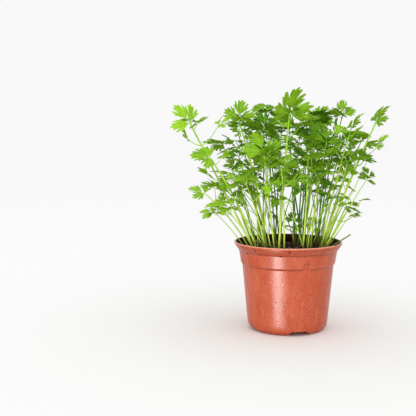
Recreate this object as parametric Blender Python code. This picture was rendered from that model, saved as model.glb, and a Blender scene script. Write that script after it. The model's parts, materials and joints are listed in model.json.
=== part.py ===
"""Flat-leaf parsley growing in a terracotta-coloured plastic nursery pot.

One object for the pot, one for the potting soil, one for each leafy stem and one for each
bare stem. Lengths are in metres and +Z is up. The plant is laid out about the pot's axis,
and everything hangs from one empty that puts the origin under the middle of the whole
plant, on the surface that the pot stands on.
"""
import math

import bmesh
import bpy
import numpy as np
from mathutils import Vector
from mathutils.bvhtree import BVHTree

MM = 0.001

# Driving sizes of the pot. A profile point is (radius, height), in millimetres.
POT_SEGMENTS = 40
POT_HEIGHT = 99.0
RIM_RADIUS = 60.5
FOOT_ARCHES = 4
FOOT_ARCH_ANGLE = -72.0  # degrees, where the first arch lies; -90 faces the front
FOOT_ARCH_WIDTH = 27.0
FOOT_ARCH_HEIGHT = 5.0
FOOT_ARCH_REACH = (30.0, 55.0)  # each arch is cut from the first distance from the axis to the second
COLLAR_TABS = 4
COLLAR_TAB_ANGLE = -67.0
COLLAR_TAB_WIDTH = 8.0
COLLAR_TAB_HEIGHT = 6.0
COLLAR_TAB_REACH = (53.0, 60.0)
COLLAR_STEP_HEIGHT = 75.2
DRAIN_HOLES = 4
DRAIN_HOLE_RADIUS = 3.5
DRAIN_HOLE_RING = 26.0
DRAIN_HOLE_SIDES = 10
BASE_UNDERSIDE = 5.4
BASE_TOP = 6.8

# The outside runs from the middle of the base out, round the foot and up to the lip.
POT_OUTSIDE = (
    (0.0, BASE_UNDERSIDE), (36.4, BASE_UNDERSIDE), (37.2, 1.0), (37.8, 0.0),
    (40.0, 0.0), (42.6, 1.8), (44.4, 4.8), (45.3, 9.6),
    (51.3, COLLAR_STEP_HEIGHT - 1.6), (52.9, COLLAR_STEP_HEIGHT), (55.2, POT_HEIGHT - 9.4),
    (56.3, POT_HEIGHT - 8.8), (RIM_RADIUS - 1.3, POT_HEIGHT - 4.1), (RIM_RADIUS - 1.3, POT_HEIGHT - 3.4),
    (RIM_RADIUS, POT_HEIGHT - 2.6), (RIM_RADIUS, POT_HEIGHT - 0.8), (RIM_RADIUS - 0.8, POT_HEIGHT),
)
# The inside runs from the lip down the wall to the middle of the floor.
POT_INSIDE = (
    (RIM_RADIUS - 2.1, POT_HEIGHT - 0.5), (54.1, POT_HEIGHT - 6.6),
    (51.6, COLLAR_STEP_HEIGHT + 0.8), (50.0, COLLAR_STEP_HEIGHT - 1.2),
    (44.0, 10.6), (42.4, BASE_TOP), (0.0, BASE_TOP),
)

# Driving sizes of the soil.
SOIL_SEGMENTS = POT_SEGMENTS // 2
SOIL_LEVEL = 89.5
SOIL_GAP = 0.35
SOIL_BUMP = 0.8  # how far the soil's top rises and falls
SOIL_RINGS = (0.78, 0.5, 0.25)  # of points on the soil's top, as shares of its radius
HOLE_SIDES = 5
HOLE_CLEARANCE = 0.6
ROOT_DEPTH = 7.0
HOLE_BELOW = 0.4  # how far a hole reaches below its stem
HOLE_ABOVE = 4.0  # how far above the soil a hole's cutter reaches

# Driving sizes of the stems and leaves.
STEM_SIDES = 4  # matches the four corners of a leaf's tail
SIDE_HINT = (0.3, 1.0, 0.1)  # no bar starts in this direction, so its first side can be set by it
STEM_STEPS = 5
STEM_RADIUS = 1.15
STEM_TIP_RADIUS = 0.65
STEM_STRAIGHT = 2.5  # how far a stem runs straight above the soil
STEM_LEAN = 0.42  # how far along its way out a stem bends most
STEM_BEND = 0.53  # how far up
STALK_RADIUS = 0.65
STALK_SAG = 0.1  # how far a side stalk sags in its middle, as a share of its length
BLADE_THICKNESS = 0.65
LEAF_ARCH = 0.22  # how steeply a blade first rises from its joint
LEAF_DROOPS = (0.25, 0.5)  # how strongly it then curves down
LEAF_WAVES = (-0.06, 0.06)  # how much higher one of its sides is than the other
GUARD = 0.3  # each piece keeps this much free space round it

# A leaf is three leaflets cut to the rib. Each leaflet's edge is a row of
# (degrees from its midrib, share of its length), blunt lobes with notches between them.
LEAFLET_HEADINGS = (-68.0, 0.0, 68.0)
LEAFLET_LENGTHS = (0.84, 1.0, 0.84)
LEAFLET_CUT = 0.17
BROAD_LEAFLET = (
    (-32, 0.58), (-27, 0.86), (-12, 0.68), (-5, 1.0), (6, 0.97), (12, 0.67), (27, 0.88), (32, 0.6),
)
SLIM_LEAFLET = ((-27, 0.62), (-18, 0.88), (-8, 0.64), (1, 1.0), (12, 0.68), (24, 0.84))
LEAF_TAIL = (150.0, 0.06)

# Stems placed by hand, in millimetres, and in degrees about the pot's axis: where the stem
# is rooted and where it ends; its end leaf's length, heading, pitch and roll; and its side
# leaves' length and heading. Heading 0 points to +X and -90 to the front. Pitch lifts a
# leaf's tip, and roll lifts the edge on the left of its heading.
PLACED_STEMS = (
    ((-38, -12), (-107, -30, 231), (29, 180, 42, -50), (22, 10)),  # long spray to the left
    ((-33, -22), (-84, -40, 193), (23, 195, 12, -30), (20, 110)),  # its lower neighbour
    ((-24, -4), (-56, -10, 235), (26, 60, 68, 20), (20, 170)),  # upright spray, upper left
    ((-10, -30), (0, -32, 240), (34, -62, 74, 6), (22, 175)),  # tallest leaf, in the middle
    ((38, -8), (94, -12, 232), (22, 5, 68, -30), (18, 160)),  # long spray to the right
    ((33, 2), (59, 6, 240), (19, 80, 70, 0), (19, 0)),  # small upright leaf, right
    ((36, -18), (66, -26, 226), (22, -30, 60, 10), (18, 20)),  # pale leaf before it
    ((24, -18), (40, -30, 210), (27, 85, 45, 10), (22, 20)),  # broad leaf, right of middle
    ((36, -24), (66, -30, 139), (18, -5, -8, -15), (14, 170)),  # low leaf over the rim, right
    ((8, -14), (6, -26, 118), (18, -75, 8, 0), (13, 170)),  # short young leaf in the middle
    ((-14, -27), (-26, -54, 200), (30, 135, 50, -30), (24, 20)),  # big pale leaf, front left
    ((-24, -26), (-44, -66, 168), (25, 250, 30, -10), (22, 170)),  # front left, lower
    ((-40, -14), (-90, -30, 152), (22, 178, 25, -25), (20, 80)),  # low spray, far left
    ((-36, -24), (-68, -56, 142), (22, 200, 10, -20), (18, 100)),  # low spray, front left
    ((-4, -34), (-8, -66, 186), (25, -85, 25, 0), (22, 170)),  # front, over the rim
    ((16, -30), (20, -64, 194), (24, -60, 30, 10), (21, 10)),  # front, right of middle
    ((40, 2), (84, 0, 204), (23, 10, 35, -30), (20, 90)),  # right side, lower tier
    ((12, -4), (20, -10, 218), (28, 60, 50, 10), (23, 140)),  # dark crown behind the tallest
    ((-14, 2), (-26, 2, 226), (26, 130, 55, -10), (22, 60)),  # crown, left of middle
)
# The rest fill the crown: spread by the golden angle, tallest in the middle, and each is
# rooted in the nearest of the tufts that the seedlings were sown in.
CROWN_STEMS = 16
CROWN_TURN = 12.0  # degrees by which a tip may leave the spiral
CROWN_REACH = (26.0, 92.0)  # from the innermost tip to the outermost, on a disc
CROWN_TOP = 240.0
CROWN_FALL = 42.0  # how much lower the outermost tips are
CROWN_UNEVEN = (-12.0, 8.0)
CROWN_DEPTH = 0.75  # the crown is this much shallower than it is wide
CROWN_SHIFT = 24.0  # and lies this far behind the pot's axis
TUFTS = ((-28, 6), (-6, 14), (10, 6), (30, 8), (14, 30), (-16, 32))
TUFT_REACH = 0.4  # a tip's tuft is the one nearest to this share of its place
TUFT_SPREAD = 0.16  # how far a stem is rooted from its tuft's middle, as a share of the way to its tip
END_LEAF_LENGTHS = (22.0, 28.0)
END_LEAF_TURN = 50.0  # degrees by which a crown stem's end leaf may turn from facing outwards
END_LEAF_PITCHES = (0.0, 65.0)
SIDE_LEAF_LENGTHS = (18.0, 23.0)
SIDE_LEAF_ANGLES = (65.0, 115.0)  # from the end leaf's heading to the side leaf on its left
SIDE_LEAF_TURN = 20.0
SIDE_LEAF_PITCHES = (0.0, 60.0)
SIDE_LEAF_SHARES = (0.68, 0.86)  # where on the stem the two side stalks leave it
SIDE_STALK_LENGTHS = (13.0, 20.0)
SIDE_STALK_RISES = (0.4, 1.2)  # how much a side stalk rises, as a share of its length
LEAF_ROLLS = (-35.0, 35.0)

# How far a stem and a leaf wander from their plan to find free space, at the first try and
# more at each next one, in millimetres, in degrees and as a share of the leaf's length.
STEM_TRIES = 150
STEM_WANDER = (0.5, 0.16)
ROOT_WANDER = 0.25
TIP_WANDER = 0.4
BEND_WANDER = (2.5, 0.16)
LEAF_TRIES = 100
LEAF_WANDER = (4.0, 0.9)
LEAF_TILT_WANDER = 0.6  # as a share of how far it turns
LEAF_SHRINK = 0.005
GOLDEN_ANGLE = 137.508
SEED = 15

# Bare stems: where they are rooted and where they end.
BARE_STEMS = (
    ((36, -24), (67, -31, 111)),  # cut stub leaning out over the rim
    ((-4, -38), (-36, -33, 103)),  # dry stalk lying low over the soil
    ((16, 8), (4, 26, 168)),
    ((30, 18), (48, 34, 158)),
    ((-26, 20), (-44, 38, 160)),
)

TERRACOTTA = ("pot_plastic", (0.66, 0.17, 0.09), 0.42)
SOIL_COLOUR = ("potting_soil", (0.020, 0.014, 0.010), 0.95)
LEAF_COLOUR = ("parsley_leaf", (0.10, 0.30, 0.03), 0.5)
STALK_COLOUR = ("parsley_stalk", (0.38, 0.58, 0.16), 0.5)


def clear_scene():
    for obj in list(bpy.data.objects):
        bpy.data.objects.remove(obj, do_unlink=True)


def material(name, colour, roughness):
    made = bpy.data.materials.new(name)
    made.use_nodes = True
    shader = made.node_tree.nodes["Principled BSDF"]
    shader.inputs["Base Color"].default_value = (*colour, 1.0)
    shader.inputs["Roughness"].default_value = roughness
    shader.inputs["Metallic"].default_value = 0.0
    return made


def add_object(name, vertices, faces, finish=None):
    """An object from points in millimetres, with its faces turned outwards."""
    mesh = bpy.data.meshes.new(name)
    mesh.from_pydata([Vector(v) * MM for v in vertices], [], [list(f) for f in faces])
    tidy = bmesh.new()
    tidy.from_mesh(mesh)
    bmesh.ops.recalc_face_normals(tidy, faces=tidy.faces)
    tidy.to_mesh(mesh)
    tidy.free()
    obj = bpy.data.objects.new(name, mesh)
    bpy.context.scene.collection.objects.link(obj)
    if finish:
        mesh.materials.append(finish)
    return obj


def apply_modifiers(obj):
    graph = bpy.context.evaluated_depsgraph_get()
    made = bpy.data.meshes.new_from_object(obj.evaluated_get(graph))
    obj.modifiers.clear()
    obj.data = made


def combine(obj, others, operation, solver):
    """Joins others to obj, or cuts them from it, with one Boolean on their collection."""
    gathered = bpy.data.collections.new(obj.name + "_repeats")
    bpy.context.scene.collection.children.link(gathered)
    for other in others:
        bpy.context.scene.collection.objects.unlink(other)
        gathered.objects.link(other)
    boolean = obj.modifiers.new("combine", "BOOLEAN")
    boolean.operation = operation
    boolean.solver = solver
    boolean.operand_type = "COLLECTION"
    boolean.collection = gathered
    apply_modifiers(obj)
    for other in list(gathered.objects):
        bpy.data.objects.remove(other, do_unlink=True)
    bpy.data.collections.remove(gathered)


def round_shape(obj, sharp_angle):
    obj.data.shade_smooth()
    obj.data.set_sharp_from_angle(angle=math.radians(sharp_angle))


def on_circle(radius, degrees, height):
    angle = math.radians(degrees)
    return (radius * math.cos(angle), radius * math.sin(angle), height)


def turned(profile, segments):
    """Points and faces of a profile turned round Z. Its first and last points are on the axis."""
    rings = profile[1:-1]
    points = [(0.0, 0.0, profile[0][1])]
    for radius, height in rings:
        points += [on_circle(radius, 360.0 * k / segments, height) for k in range(segments)]
    points.append((0.0, 0.0, profile[-1][1]))
    faces = []
    for k in range(segments):
        after = (k + 1) % segments
        faces.append((0, 1 + after, 1 + k))
        for ring in range(len(rings) - 1):
            low, high = 1 + ring * segments, 1 + (ring + 1) * segments
            faces.append((low + k, low + after, high + after, high + k))
        last = 1 + (len(rings) - 1) * segments
        faces.append((last + k, last + after, len(points) - 1))
    return points, faces


def prism(outline, near, far, degrees):
    """A closed bar with an outline of (sideways, height) points, from radius near to far."""
    angle = math.radians(degrees)
    out, side = (math.cos(angle), math.sin(angle)), (-math.sin(angle), math.cos(angle))
    points = [
        (reach * out[0] + across * side[0], reach * out[1] + across * side[1], height)
        for reach in (near, far)
        for across, height in outline
    ]
    n = len(outline)
    faces = [tuple(range(n)), tuple(range(2 * n - 1, n - 1, -1))]
    faces += [(i, (i + 1) % n, n + (i + 1) % n, n + i) for i in range(n)]
    return points, faces


def arched_outline(width, low, high):
    """A flat-topped arch with sloping sides, as (sideways, height) points."""
    foot, top = width / 2, width / 3
    return ((-foot, low), (foot, low), (top, high), (-top, high))


def make_pot(finish):
    pot = add_object("pot", *turned(POT_OUTSIDE + POT_INSIDE, POT_SEGMENTS), finish)
    cutters = []
    for k in range(FOOT_ARCHES):
        outline = arched_outline(FOOT_ARCH_WIDTH, -1.0, FOOT_ARCH_HEIGHT)
        bar = prism(outline, *FOOT_ARCH_REACH, FOOT_ARCH_ANGLE + 360.0 * k / FOOT_ARCHES)
        cutters.append(add_object(f"foot_arch_{k}", *bar))
    for k in range(COLLAR_TABS):
        top = COLLAR_STEP_HEIGHT + COLLAR_TAB_HEIGHT
        outline = arched_outline(COLLAR_TAB_WIDTH, COLLAR_STEP_HEIGHT - 2.0, top)
        bar = prism(outline, *COLLAR_TAB_REACH, COLLAR_TAB_ANGLE + 360.0 * k / COLLAR_TABS)
        cutters.append(add_object(f"collar_tab_{k}", *bar))
    for k in range(DRAIN_HOLES):
        angle = FOOT_ARCH_ANGLE + 360.0 * k / DRAIN_HOLES
        middle = np.array(on_circle(DRAIN_HOLE_RING, angle, 0.0))
        path = [middle + (0, 0, BASE_UNDERSIDE - 2), middle + (0, 0, BASE_TOP + 2)]
        cutters.append(add_object(f"drain_{k}", *tube(path, (DRAIN_HOLE_RADIUS,) * 2, DRAIN_HOLE_SIDES)))
    combine(pot, cutters, "DIFFERENCE", "EXACT")
    round_shape(pot, 35)
    return pot


def soil_surface(rng):
    """Points and faces of the soil: the pot's inside, a little smaller, with an uneven top."""
    high, *wall = [(r - SOIL_GAP, z + SOIL_GAP) for r, z in POT_INSIDE[-2:0:-1]][::-1]
    share = (SOIL_LEVEL - wall[0][1]) / (high[1] - wall[0][1])
    edge = wall[0][0] + share * (high[0] - wall[0][0])
    profile = [(0.0, wall[-1][1]), *wall[::-1], (edge, SOIL_LEVEL)]
    profile += [(edge * ring, SOIL_LEVEL) for ring in SOIL_RINGS]
    profile.append((0.0, SOIL_LEVEL))
    points, faces = turned(profile, SOIL_SEGMENTS)
    uneven = SOIL_SEGMENTS * len(SOIL_RINGS) + 1
    bumps = rng.uniform(-SOIL_BUMP, SOIL_BUMP, uneven)
    raised = [(x, y, z + bump) for (x, y, z), bump in zip(points[-uneven:], bumps)]
    return points[:-uneven] + raised, faces


def unit(vector):
    return vector / np.linalg.norm(vector)


def tube(path, radii, sides):
    """Points and faces of a closed bar with flat ends along a path of points."""
    path = np.array(path, float)
    steps = np.gradient(path, axis=0)
    side = unit(np.cross(steps[0], SIDE_HINT))
    points = []
    for centre, step, radius in zip(path, steps, radii):
        along = unit(step)
        side = unit(side - along * (side @ along))
        other = np.cross(along, side)
        for k in range(sides):
            angle = 2 * math.pi * k / sides
            points.append(centre + radius * (math.cos(angle) * side + math.sin(angle) * other))
    faces = [tuple(range(sides - 1, -1, -1))]
    for ring in range(len(path) - 1):
        low, high = ring * sides, (ring + 1) * sides
        for k in range(sides):
            after = (k + 1) % sides
            faces.append((low + k, low + after, high + after, high + k))
    faces.append(tuple(range(len(points) - sides, len(points))))
    return points, faces


def leaf_edge(leaflet):
    """The whole leaf's edge as (angle from its middle rib, share of its length) rows."""
    angle, reach = LEAF_TAIL
    rows = [(-angle, reach)]
    for k, (heading, length) in enumerate(zip(LEAFLET_HEADINGS, LEAFLET_LENGTHS)):
        if k:
            rows.append(((heading + LEAFLET_HEADINGS[k - 1]) / 2, LEAFLET_CUT))
        rows += [(heading + turn, length * share) for turn, share in leaflet]
    rows.append((angle, reach))
    return np.array(rows)


def leaf_height(reach, angle, droop, wave):
    """How far the blade rises from its plane, as a share of its length: arched and waved."""
    return LEAF_ARCH * reach - droop * reach**2 + wave * reach * np.sin(2 * angle + 0.7)


def blade(leaf, grow):
    """Points and faces of a thin arched leaf, split from its middle on both faces.

    It is closed everywhere but at its tail, whose four corners are also returned, in order
    anticlockwise as seen from its tip.
    """
    angles, reach = leaf_edge(leaf["leaflet"]).T
    angles = np.radians(angles)
    length = leaf["length"]
    flat = np.cos(angles)[:, None] * leaf["ahead"] + np.sin(angles)[:, None] * leaf["across"]
    lift = length * leaf_height(reach, angles, leaf["droop"], leaf["wave"])
    edge = leaf["base"] + flat * (reach * length + grow)[:, None] + leaf["up"] * lift[:, None]
    half = leaf["up"] * (BLADE_THICKNESS / 2 + grow)
    n = len(edge)
    points = [leaf["base"] + half, *(edge + half), leaf["base"] - half, *(edge - half)]
    under = n + 1
    faces = []
    for k in range(1, n):
        faces.append((0, k, k + 1))
        faces.append((under, under + k + 1, under + k))
        faces.append((k, under + k, k + 1))
        faces.append((k + 1, under + k, under + k + 1))
    faces += [(0, n, 1), (under, under + 1, under + n)]
    return points, faces, (1, under + 1, under + n, n)


def stalked_leaf(path, radii, leaf):
    """Points and faces of a leaf on its stem or stalk, whose last ring is the leaf's tail.

    The tail's corners are paired with the last ring's by the turn that keeps them closest.
    """
    points, faces = tube(path[:-1], radii[:-1], STEM_SIDES)
    faces.pop()
    last = range(len(points) - STEM_SIDES, len(points))
    leaf_points, leaf_faces, tail = blade(leaf, 0.0)
    tail = [corner + len(points) for corner in tail]
    leaf_faces = [[corner + len(points) for corner in face] for face in leaf_faces]
    points = [*points, *leaf_points]

    def twist(turn):
        return sum(np.linalg.norm(points[a] - points[tail[k - turn]]) for k, a in enumerate(last))

    turn = min(range(STEM_SIDES), key=twist)
    for k in range(STEM_SIDES):
        after = (k + 1) % STEM_SIDES
        faces.append((last[k], last[after], tail[after - turn], tail[k - turn]))
    return points, faces + leaf_faces


def leaf_at(base, aim, leaflet, rng):
    """A leaf's place: where it is joined, its length and its three directions."""
    length, heading, pitch, roll = aim
    heading, pitch, roll = np.radians((heading, pitch, roll))
    level = np.array((math.cos(heading), math.sin(heading), 0.0))
    left = np.array((-math.sin(heading), math.cos(heading), 0.0))
    ahead = math.cos(pitch) * level + np.array((0, 0, math.sin(pitch)))
    across = math.cos(roll) * left + math.sin(roll) * unit(np.cross(ahead, left))
    return {
        "base": np.array(base), "length": length, "leaflet": leaflet,
        "ahead": ahead, "across": across, "up": unit(np.cross(ahead, across)),
        "droop": rng.uniform(*LEAF_DROOPS), "wave": rng.uniform(*LEAF_WAVES),
    }


def stem_curve(root, tip, lean, share):
    """A point on a stem, which leaves the soil steeply and bends towards its tip."""
    root, tip = np.array(root), np.array(tip)
    rise = tip[2] - root[2]
    bend = root + (tip - root) * (STEM_LEAN, STEM_LEAN, 0.0) + (*lean, STEM_BEND * rise)
    share = np.asarray(share, float)[..., None]
    return (1 - share) ** 2 * root + 2 * share * (1 - share) * bend + share**2 * tip


def stem_path(root, tip, lean):
    """The stem's points, from its foot in the soil to its tip."""
    curve = stem_curve(root, tip, lean, np.linspace(0, 1, STEM_STEPS + 1))
    start = unit(stem_curve(root, tip, lean, 0.02) - curve[0])
    return [curve[0] - start * ROOT_DEPTH, curve[0] + start * STEM_STRAIGHT, *curve[1:]]


def stem_radii(grow):
    return np.linspace(STEM_RADIUS, STEM_TIP_RADIUS, STEM_STEPS + 2) + grow


def stalk_path(start, base):
    """A side stalk leaves the stem flat and curves up to its leaf."""
    middle = (start + base) / 2 - (0, 0, STALK_SAG * np.linalg.norm(base - start))
    return [start, middle, base]


def tree_of(points, faces):
    return BVHTree.FromPolygons([Vector(p) for p in points], [list(f) for f in faces])


def box_of(points):
    points = np.array(points)
    return points.min(axis=0), points.max(axis=0)


class Crowd:
    """What has been placed so far, each piece with the free space that it keeps round it."""

    def __init__(self):
        self.placed = []

    def add(self, group, shape):
        self.placed.append((group, *box_of(shape[0]), tree_of(*shape)))

    def is_clear(self, shape, ignored=()):
        low, high = box_of(shape[0])
        tree = tree_of(*shape)
        for group, other_low, other_high, other in self.placed:
            if group in ignored or (low > other_high).any() or (high < other_low).any():
                continue
            if tree.overlap(other):
                return False
        return True


def root_hole(path):
    """The cutter of the plain hole that a stem stands in."""
    foot, above = path[0], path[1]
    along = unit(above - foot)
    ends = [foot - along * HOLE_BELOW, foot + along * (ROOT_DEPTH + HOLE_ABOVE)]
    return tube(ends, (STEM_RADIUS + HOLE_CLEARANCE,) * 2, HOLE_SIDES)


def grown_stem(name, root, tip, crowd, rng):
    """Bends a stem clear of what is placed, a little further at each try."""
    for attempt in range(STEM_TRIES):
        reach = STEM_WANDER[0] + STEM_WANDER[1] * attempt
        foot = (*(np.array(root) + rng.normal(0, ROOT_WANDER * reach, 2)), SOIL_LEVEL)
        end = np.array(tip) + rng.normal(0, TIP_WANDER * reach, 3)
        lean = rng.normal(0, BEND_WANDER[0] + BEND_WANDER[1] * attempt, 2)
        path = stem_path(foot, end, lean)
        radii = stem_radii(GUARD)
        guard = tube(path, radii, STEM_SIDES)
        hole = root_hole(path)
        if crowd.is_clear(guard, ("soil",)) and crowd.is_clear(hole, ("soil",)):
            crowd.add("root_hole", hole)
            crowd.add(name, tube(path[:-1], radii[:-1], STEM_SIDES))
            crowd.add(name + "_end", tube(path[-2:], radii[-2:], STEM_SIDES))
            return {"name": name, "root": foot, "tip": end, "lean": lean, "path": path}
    raise RuntimeError(f"{name} finds no clear way up")


def grown_end_leaf(stem, aim, crowd, rng):
    """Turns and shortens the end leaf until it hangs clear of all but the stem's own end."""
    for attempt in range(LEAF_TRIES):
        leaf = leaf_at(stem["tip"], varied(aim, attempt, rng), BROAD_LEAFLET, rng)
        guard = blade(leaf, GUARD)[:2]
        if crowd.is_clear(guard, (stem["name"] + "_end",)):
            crowd.add(stem["name"] + "_leaf", guard)
            return leaf
    raise RuntimeError(f"{stem['name']} has no room for its end leaf")


def grown_side_leaf(stem, start, aim, crowd, rng):
    """The same for a leaf on a side stalk that starts inside the stem. None where it's full."""
    own = (stem["name"], stem["name"] + "_end", stem["name"] + "_stalk")
    for attempt in range(LEAF_TRIES):
        length, heading, pitch, roll = varied(aim, attempt, rng)
        reach = rng.uniform(*SIDE_STALK_LENGTHS)
        base = start + np.array(on_circle(reach, heading, reach * rng.uniform(*SIDE_STALK_RISES)))
        leaf = leaf_at(base, (length, heading, pitch, roll), SLIM_LEAFLET, rng)
        stalk = stalk_path(start, base)
        guard = blade(leaf, GUARD)[:2]
        stalk_guard = tube(stalk, (STALK_RADIUS + GUARD,) * 3, STEM_SIDES)
        if crowd.is_clear(guard) and crowd.is_clear(stalk_guard, own):
            crowd.add(stem["name"] + "_leaf", guard)
            crowd.add(stem["name"] + "_stalk", stalk_guard)
            return {**leaf, "stalk": stalk}
    return None


def varied(aim, attempt, rng):
    """An aim turned at random, and shortened, a little more at each try."""
    length, heading, pitch, roll = aim
    turn, tilt, twist = rng.normal(0, LEAF_WANDER[0] + LEAF_WANDER[1] * attempt, 3)
    pitch += LEAF_TILT_WANDER * tilt
    roll += LEAF_TILT_WANDER * twist
    return length * (1 - LEAF_SHRINK * attempt), heading + turn, pitch, roll


def crown_plan(rng):
    """Root, tip, end leaf and side leaves of each stem that fills the crown."""
    rows = []
    inner, outer = CROWN_REACH
    for k in range(CROWN_STEMS):
        share = (k + 0.5) / CROWN_STEMS
        angle = k * GOLDEN_ANGLE + rng.uniform(-CROWN_TURN, CROWN_TURN)
        reach = math.sqrt(inner**2 + share * (outer**2 - inner**2))
        x, y, _ = on_circle(reach, angle, 0.0)
        y *= CROWN_DEPTH
        z = CROWN_TOP - CROWN_FALL * share + rng.uniform(*CROWN_UNEVEN)
        tip = np.array((x, y + CROWN_SHIFT))
        tuft = min(TUFTS, key=lambda middle: np.linalg.norm(TUFT_REACH * tip - middle))
        root = tuft + TUFT_SPREAD * (tip - tuft)
        heading = angle + rng.uniform(-END_LEAF_TURN, END_LEAF_TURN)
        end_leaf = (
            rng.uniform(*END_LEAF_LENGTHS), heading, rng.uniform(*END_LEAF_PITCHES), rng.uniform(*LEAF_ROLLS),
        )
        side_leaf = (rng.uniform(*SIDE_LEAF_LENGTHS), heading + rng.uniform(*SIDE_LEAF_ANGLES))
        rows.append((root, (*tip, z), end_leaf, side_leaf))
    return rows


def grow_plant(pot_shape, soil_shape, rng):
    """Every stem in turn, each bent and turned clear of those before it."""
    crowd = Crowd()
    crowd.add("pot", pot_shape)
    crowd.add("soil", soil_shape)
    plan = [*PLACED_STEMS, *crown_plan(rng)]
    bare = [
        grown_stem(f"bare_stem_{k + 1}", root, tip, crowd, rng)
        for k, (root, tip) in enumerate(BARE_STEMS)
    ]
    stems = [
        grown_stem(f"leafy_stem_{k + 1:02d}", root, tip, crowd, rng)
        for k, (root, tip, _, _) in enumerate(plan)
    ]
    for stem, (_, _, end_leaf, _) in zip(stems, plan):
        stem["end_leaf"] = grown_end_leaf(stem, end_leaf, crowd, rng)
    for stem, (_, _, _, (length, heading)) in zip(stems, plan):
        share = rng.uniform(*SIDE_LEAF_SHARES)
        start = stem_curve(stem["root"], stem["tip"], stem["lean"], share)
        leaves = []
        for turn in (0.0, 180.0):
            pitch, roll = rng.uniform(*SIDE_LEAF_PITCHES), rng.uniform(*LEAF_ROLLS)
            sideways = heading + turn + rng.uniform(-SIDE_LEAF_TURN, SIDE_LEAF_TURN)
            aim = (length, sideways, pitch, roll)
            leaves.append(grown_side_leaf(stem, start, aim, crowd, rng))
        stem["side_leaves"] = [leaf for leaf in leaves if leaf]
    return stems, bare


def make_leafy_stem(stem, finish):
    """The stem with its stalks and leaves joined into one solid."""
    body = stalked_leaf(stem["path"], stem_radii(0.0), stem["end_leaf"])
    body = add_object(stem["name"], *body, finish)
    sides = [
        add_object(f"side_leaf_{k}", *stalked_leaf(leaf["stalk"], (STALK_RADIUS,) * 3, leaf))
        for k, leaf in enumerate(stem["side_leaves"])
    ]
    combine(body, sides, "UNION", "MANIFOLD")
    return body


def make_bare_stem(stem, finish):
    return add_object(stem["name"], *tube(stem["path"], stem_radii(0.0), STEM_SIDES), finish)


def make_soil(shape, stems, finish):
    """The soil, with a plain hole for each stem."""
    soil = add_object("soil", *shape, finish)
    holes = [add_object(f"hole_{k}", *root_hole(stem["path"])) for k, stem in enumerate(stems)]
    combine(soil, holes, "DIFFERENCE", "EXACT")
    round_shape(soil, 60)
    return soil


def centre_on_origin(objects):
    """Hangs everything from an empty, so that the origin is under the middle of the plant."""
    corners = [obj.matrix_world @ v.co for obj in objects for v in obj.data.vertices]
    stand = bpy.data.objects.new("stand", None)
    bpy.context.scene.collection.objects.link(stand)
    for axis in (0, 1):
        values = [corner[axis] for corner in corners]
        stand.location[axis] = -(min(values) + max(values)) / 2
    for obj in objects:
        obj.parent = stand


def main():
    clear_scene()
    plastic, ground = material(*TERRACOTTA), material(*SOIL_COLOUR)
    leaf, stalk = material(*LEAF_COLOUR), material(*STALK_COLOUR)
    rng = np.random.default_rng(SEED)
    pot = make_pot(plastic)
    soil_shape = soil_surface(rng)
    pot_shape = turned(POT_OUTSIDE + POT_INSIDE, POT_SEGMENTS)
    stems, bare = grow_plant(pot_shape, soil_shape, rng)
    soil = make_soil(soil_shape, stems + bare, ground)
    leafy = [make_leafy_stem(stem, leaf) for stem in stems]
    cut = [make_bare_stem(stem, stalk) for stem in bare]
    centre_on_origin([pot, soil, *leafy, *cut])


main()
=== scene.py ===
"""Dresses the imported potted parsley: a moulded nursery pot, its compost, and leafy stems that are
grown again on the plan of the solids they stand for, with finer leaves and more of them.
"""
import json
import math
from functools import partial

import bpy
import numpy as np
from bpy.props import FloatProperty, FloatVectorProperty, IntProperty, PointerProperty
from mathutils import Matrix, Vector
from mathutils.bvhtree import BVHTree

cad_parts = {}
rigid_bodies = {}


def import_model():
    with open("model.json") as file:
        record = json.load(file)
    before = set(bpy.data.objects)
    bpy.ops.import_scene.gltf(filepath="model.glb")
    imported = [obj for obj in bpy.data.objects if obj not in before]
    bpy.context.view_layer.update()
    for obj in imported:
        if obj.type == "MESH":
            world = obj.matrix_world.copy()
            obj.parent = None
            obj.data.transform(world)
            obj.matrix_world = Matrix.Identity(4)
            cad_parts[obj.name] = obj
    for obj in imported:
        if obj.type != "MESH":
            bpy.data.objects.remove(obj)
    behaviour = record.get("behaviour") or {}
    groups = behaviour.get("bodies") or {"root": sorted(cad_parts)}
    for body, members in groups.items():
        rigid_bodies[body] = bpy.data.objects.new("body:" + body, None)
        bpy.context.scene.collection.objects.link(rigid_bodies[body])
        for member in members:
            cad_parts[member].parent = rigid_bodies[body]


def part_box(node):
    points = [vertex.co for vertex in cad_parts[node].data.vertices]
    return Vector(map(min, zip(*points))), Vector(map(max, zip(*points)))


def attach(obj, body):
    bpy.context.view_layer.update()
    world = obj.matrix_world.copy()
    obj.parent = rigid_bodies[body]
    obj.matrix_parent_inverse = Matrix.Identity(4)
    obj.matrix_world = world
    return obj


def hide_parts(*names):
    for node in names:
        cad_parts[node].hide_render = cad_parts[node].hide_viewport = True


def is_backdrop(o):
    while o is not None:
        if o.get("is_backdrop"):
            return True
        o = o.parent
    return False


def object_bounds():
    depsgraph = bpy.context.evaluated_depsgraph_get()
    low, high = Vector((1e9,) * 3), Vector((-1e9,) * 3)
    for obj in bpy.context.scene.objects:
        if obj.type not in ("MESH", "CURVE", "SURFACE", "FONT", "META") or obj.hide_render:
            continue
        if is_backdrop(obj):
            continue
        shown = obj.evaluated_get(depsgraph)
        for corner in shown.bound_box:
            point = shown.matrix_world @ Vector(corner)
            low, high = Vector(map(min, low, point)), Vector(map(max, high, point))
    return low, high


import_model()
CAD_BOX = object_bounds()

bl_info = {
    "name": "Potted parsley",
    "version": (1, 0, 0),
    "blender": (4, 5, 0),
    "location": "3D View > Sidebar > Parsley",
    "description": "Dresses the packed potted parsley: pot, compost, leafy stems and stage",
    "category": "Object",
}

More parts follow.
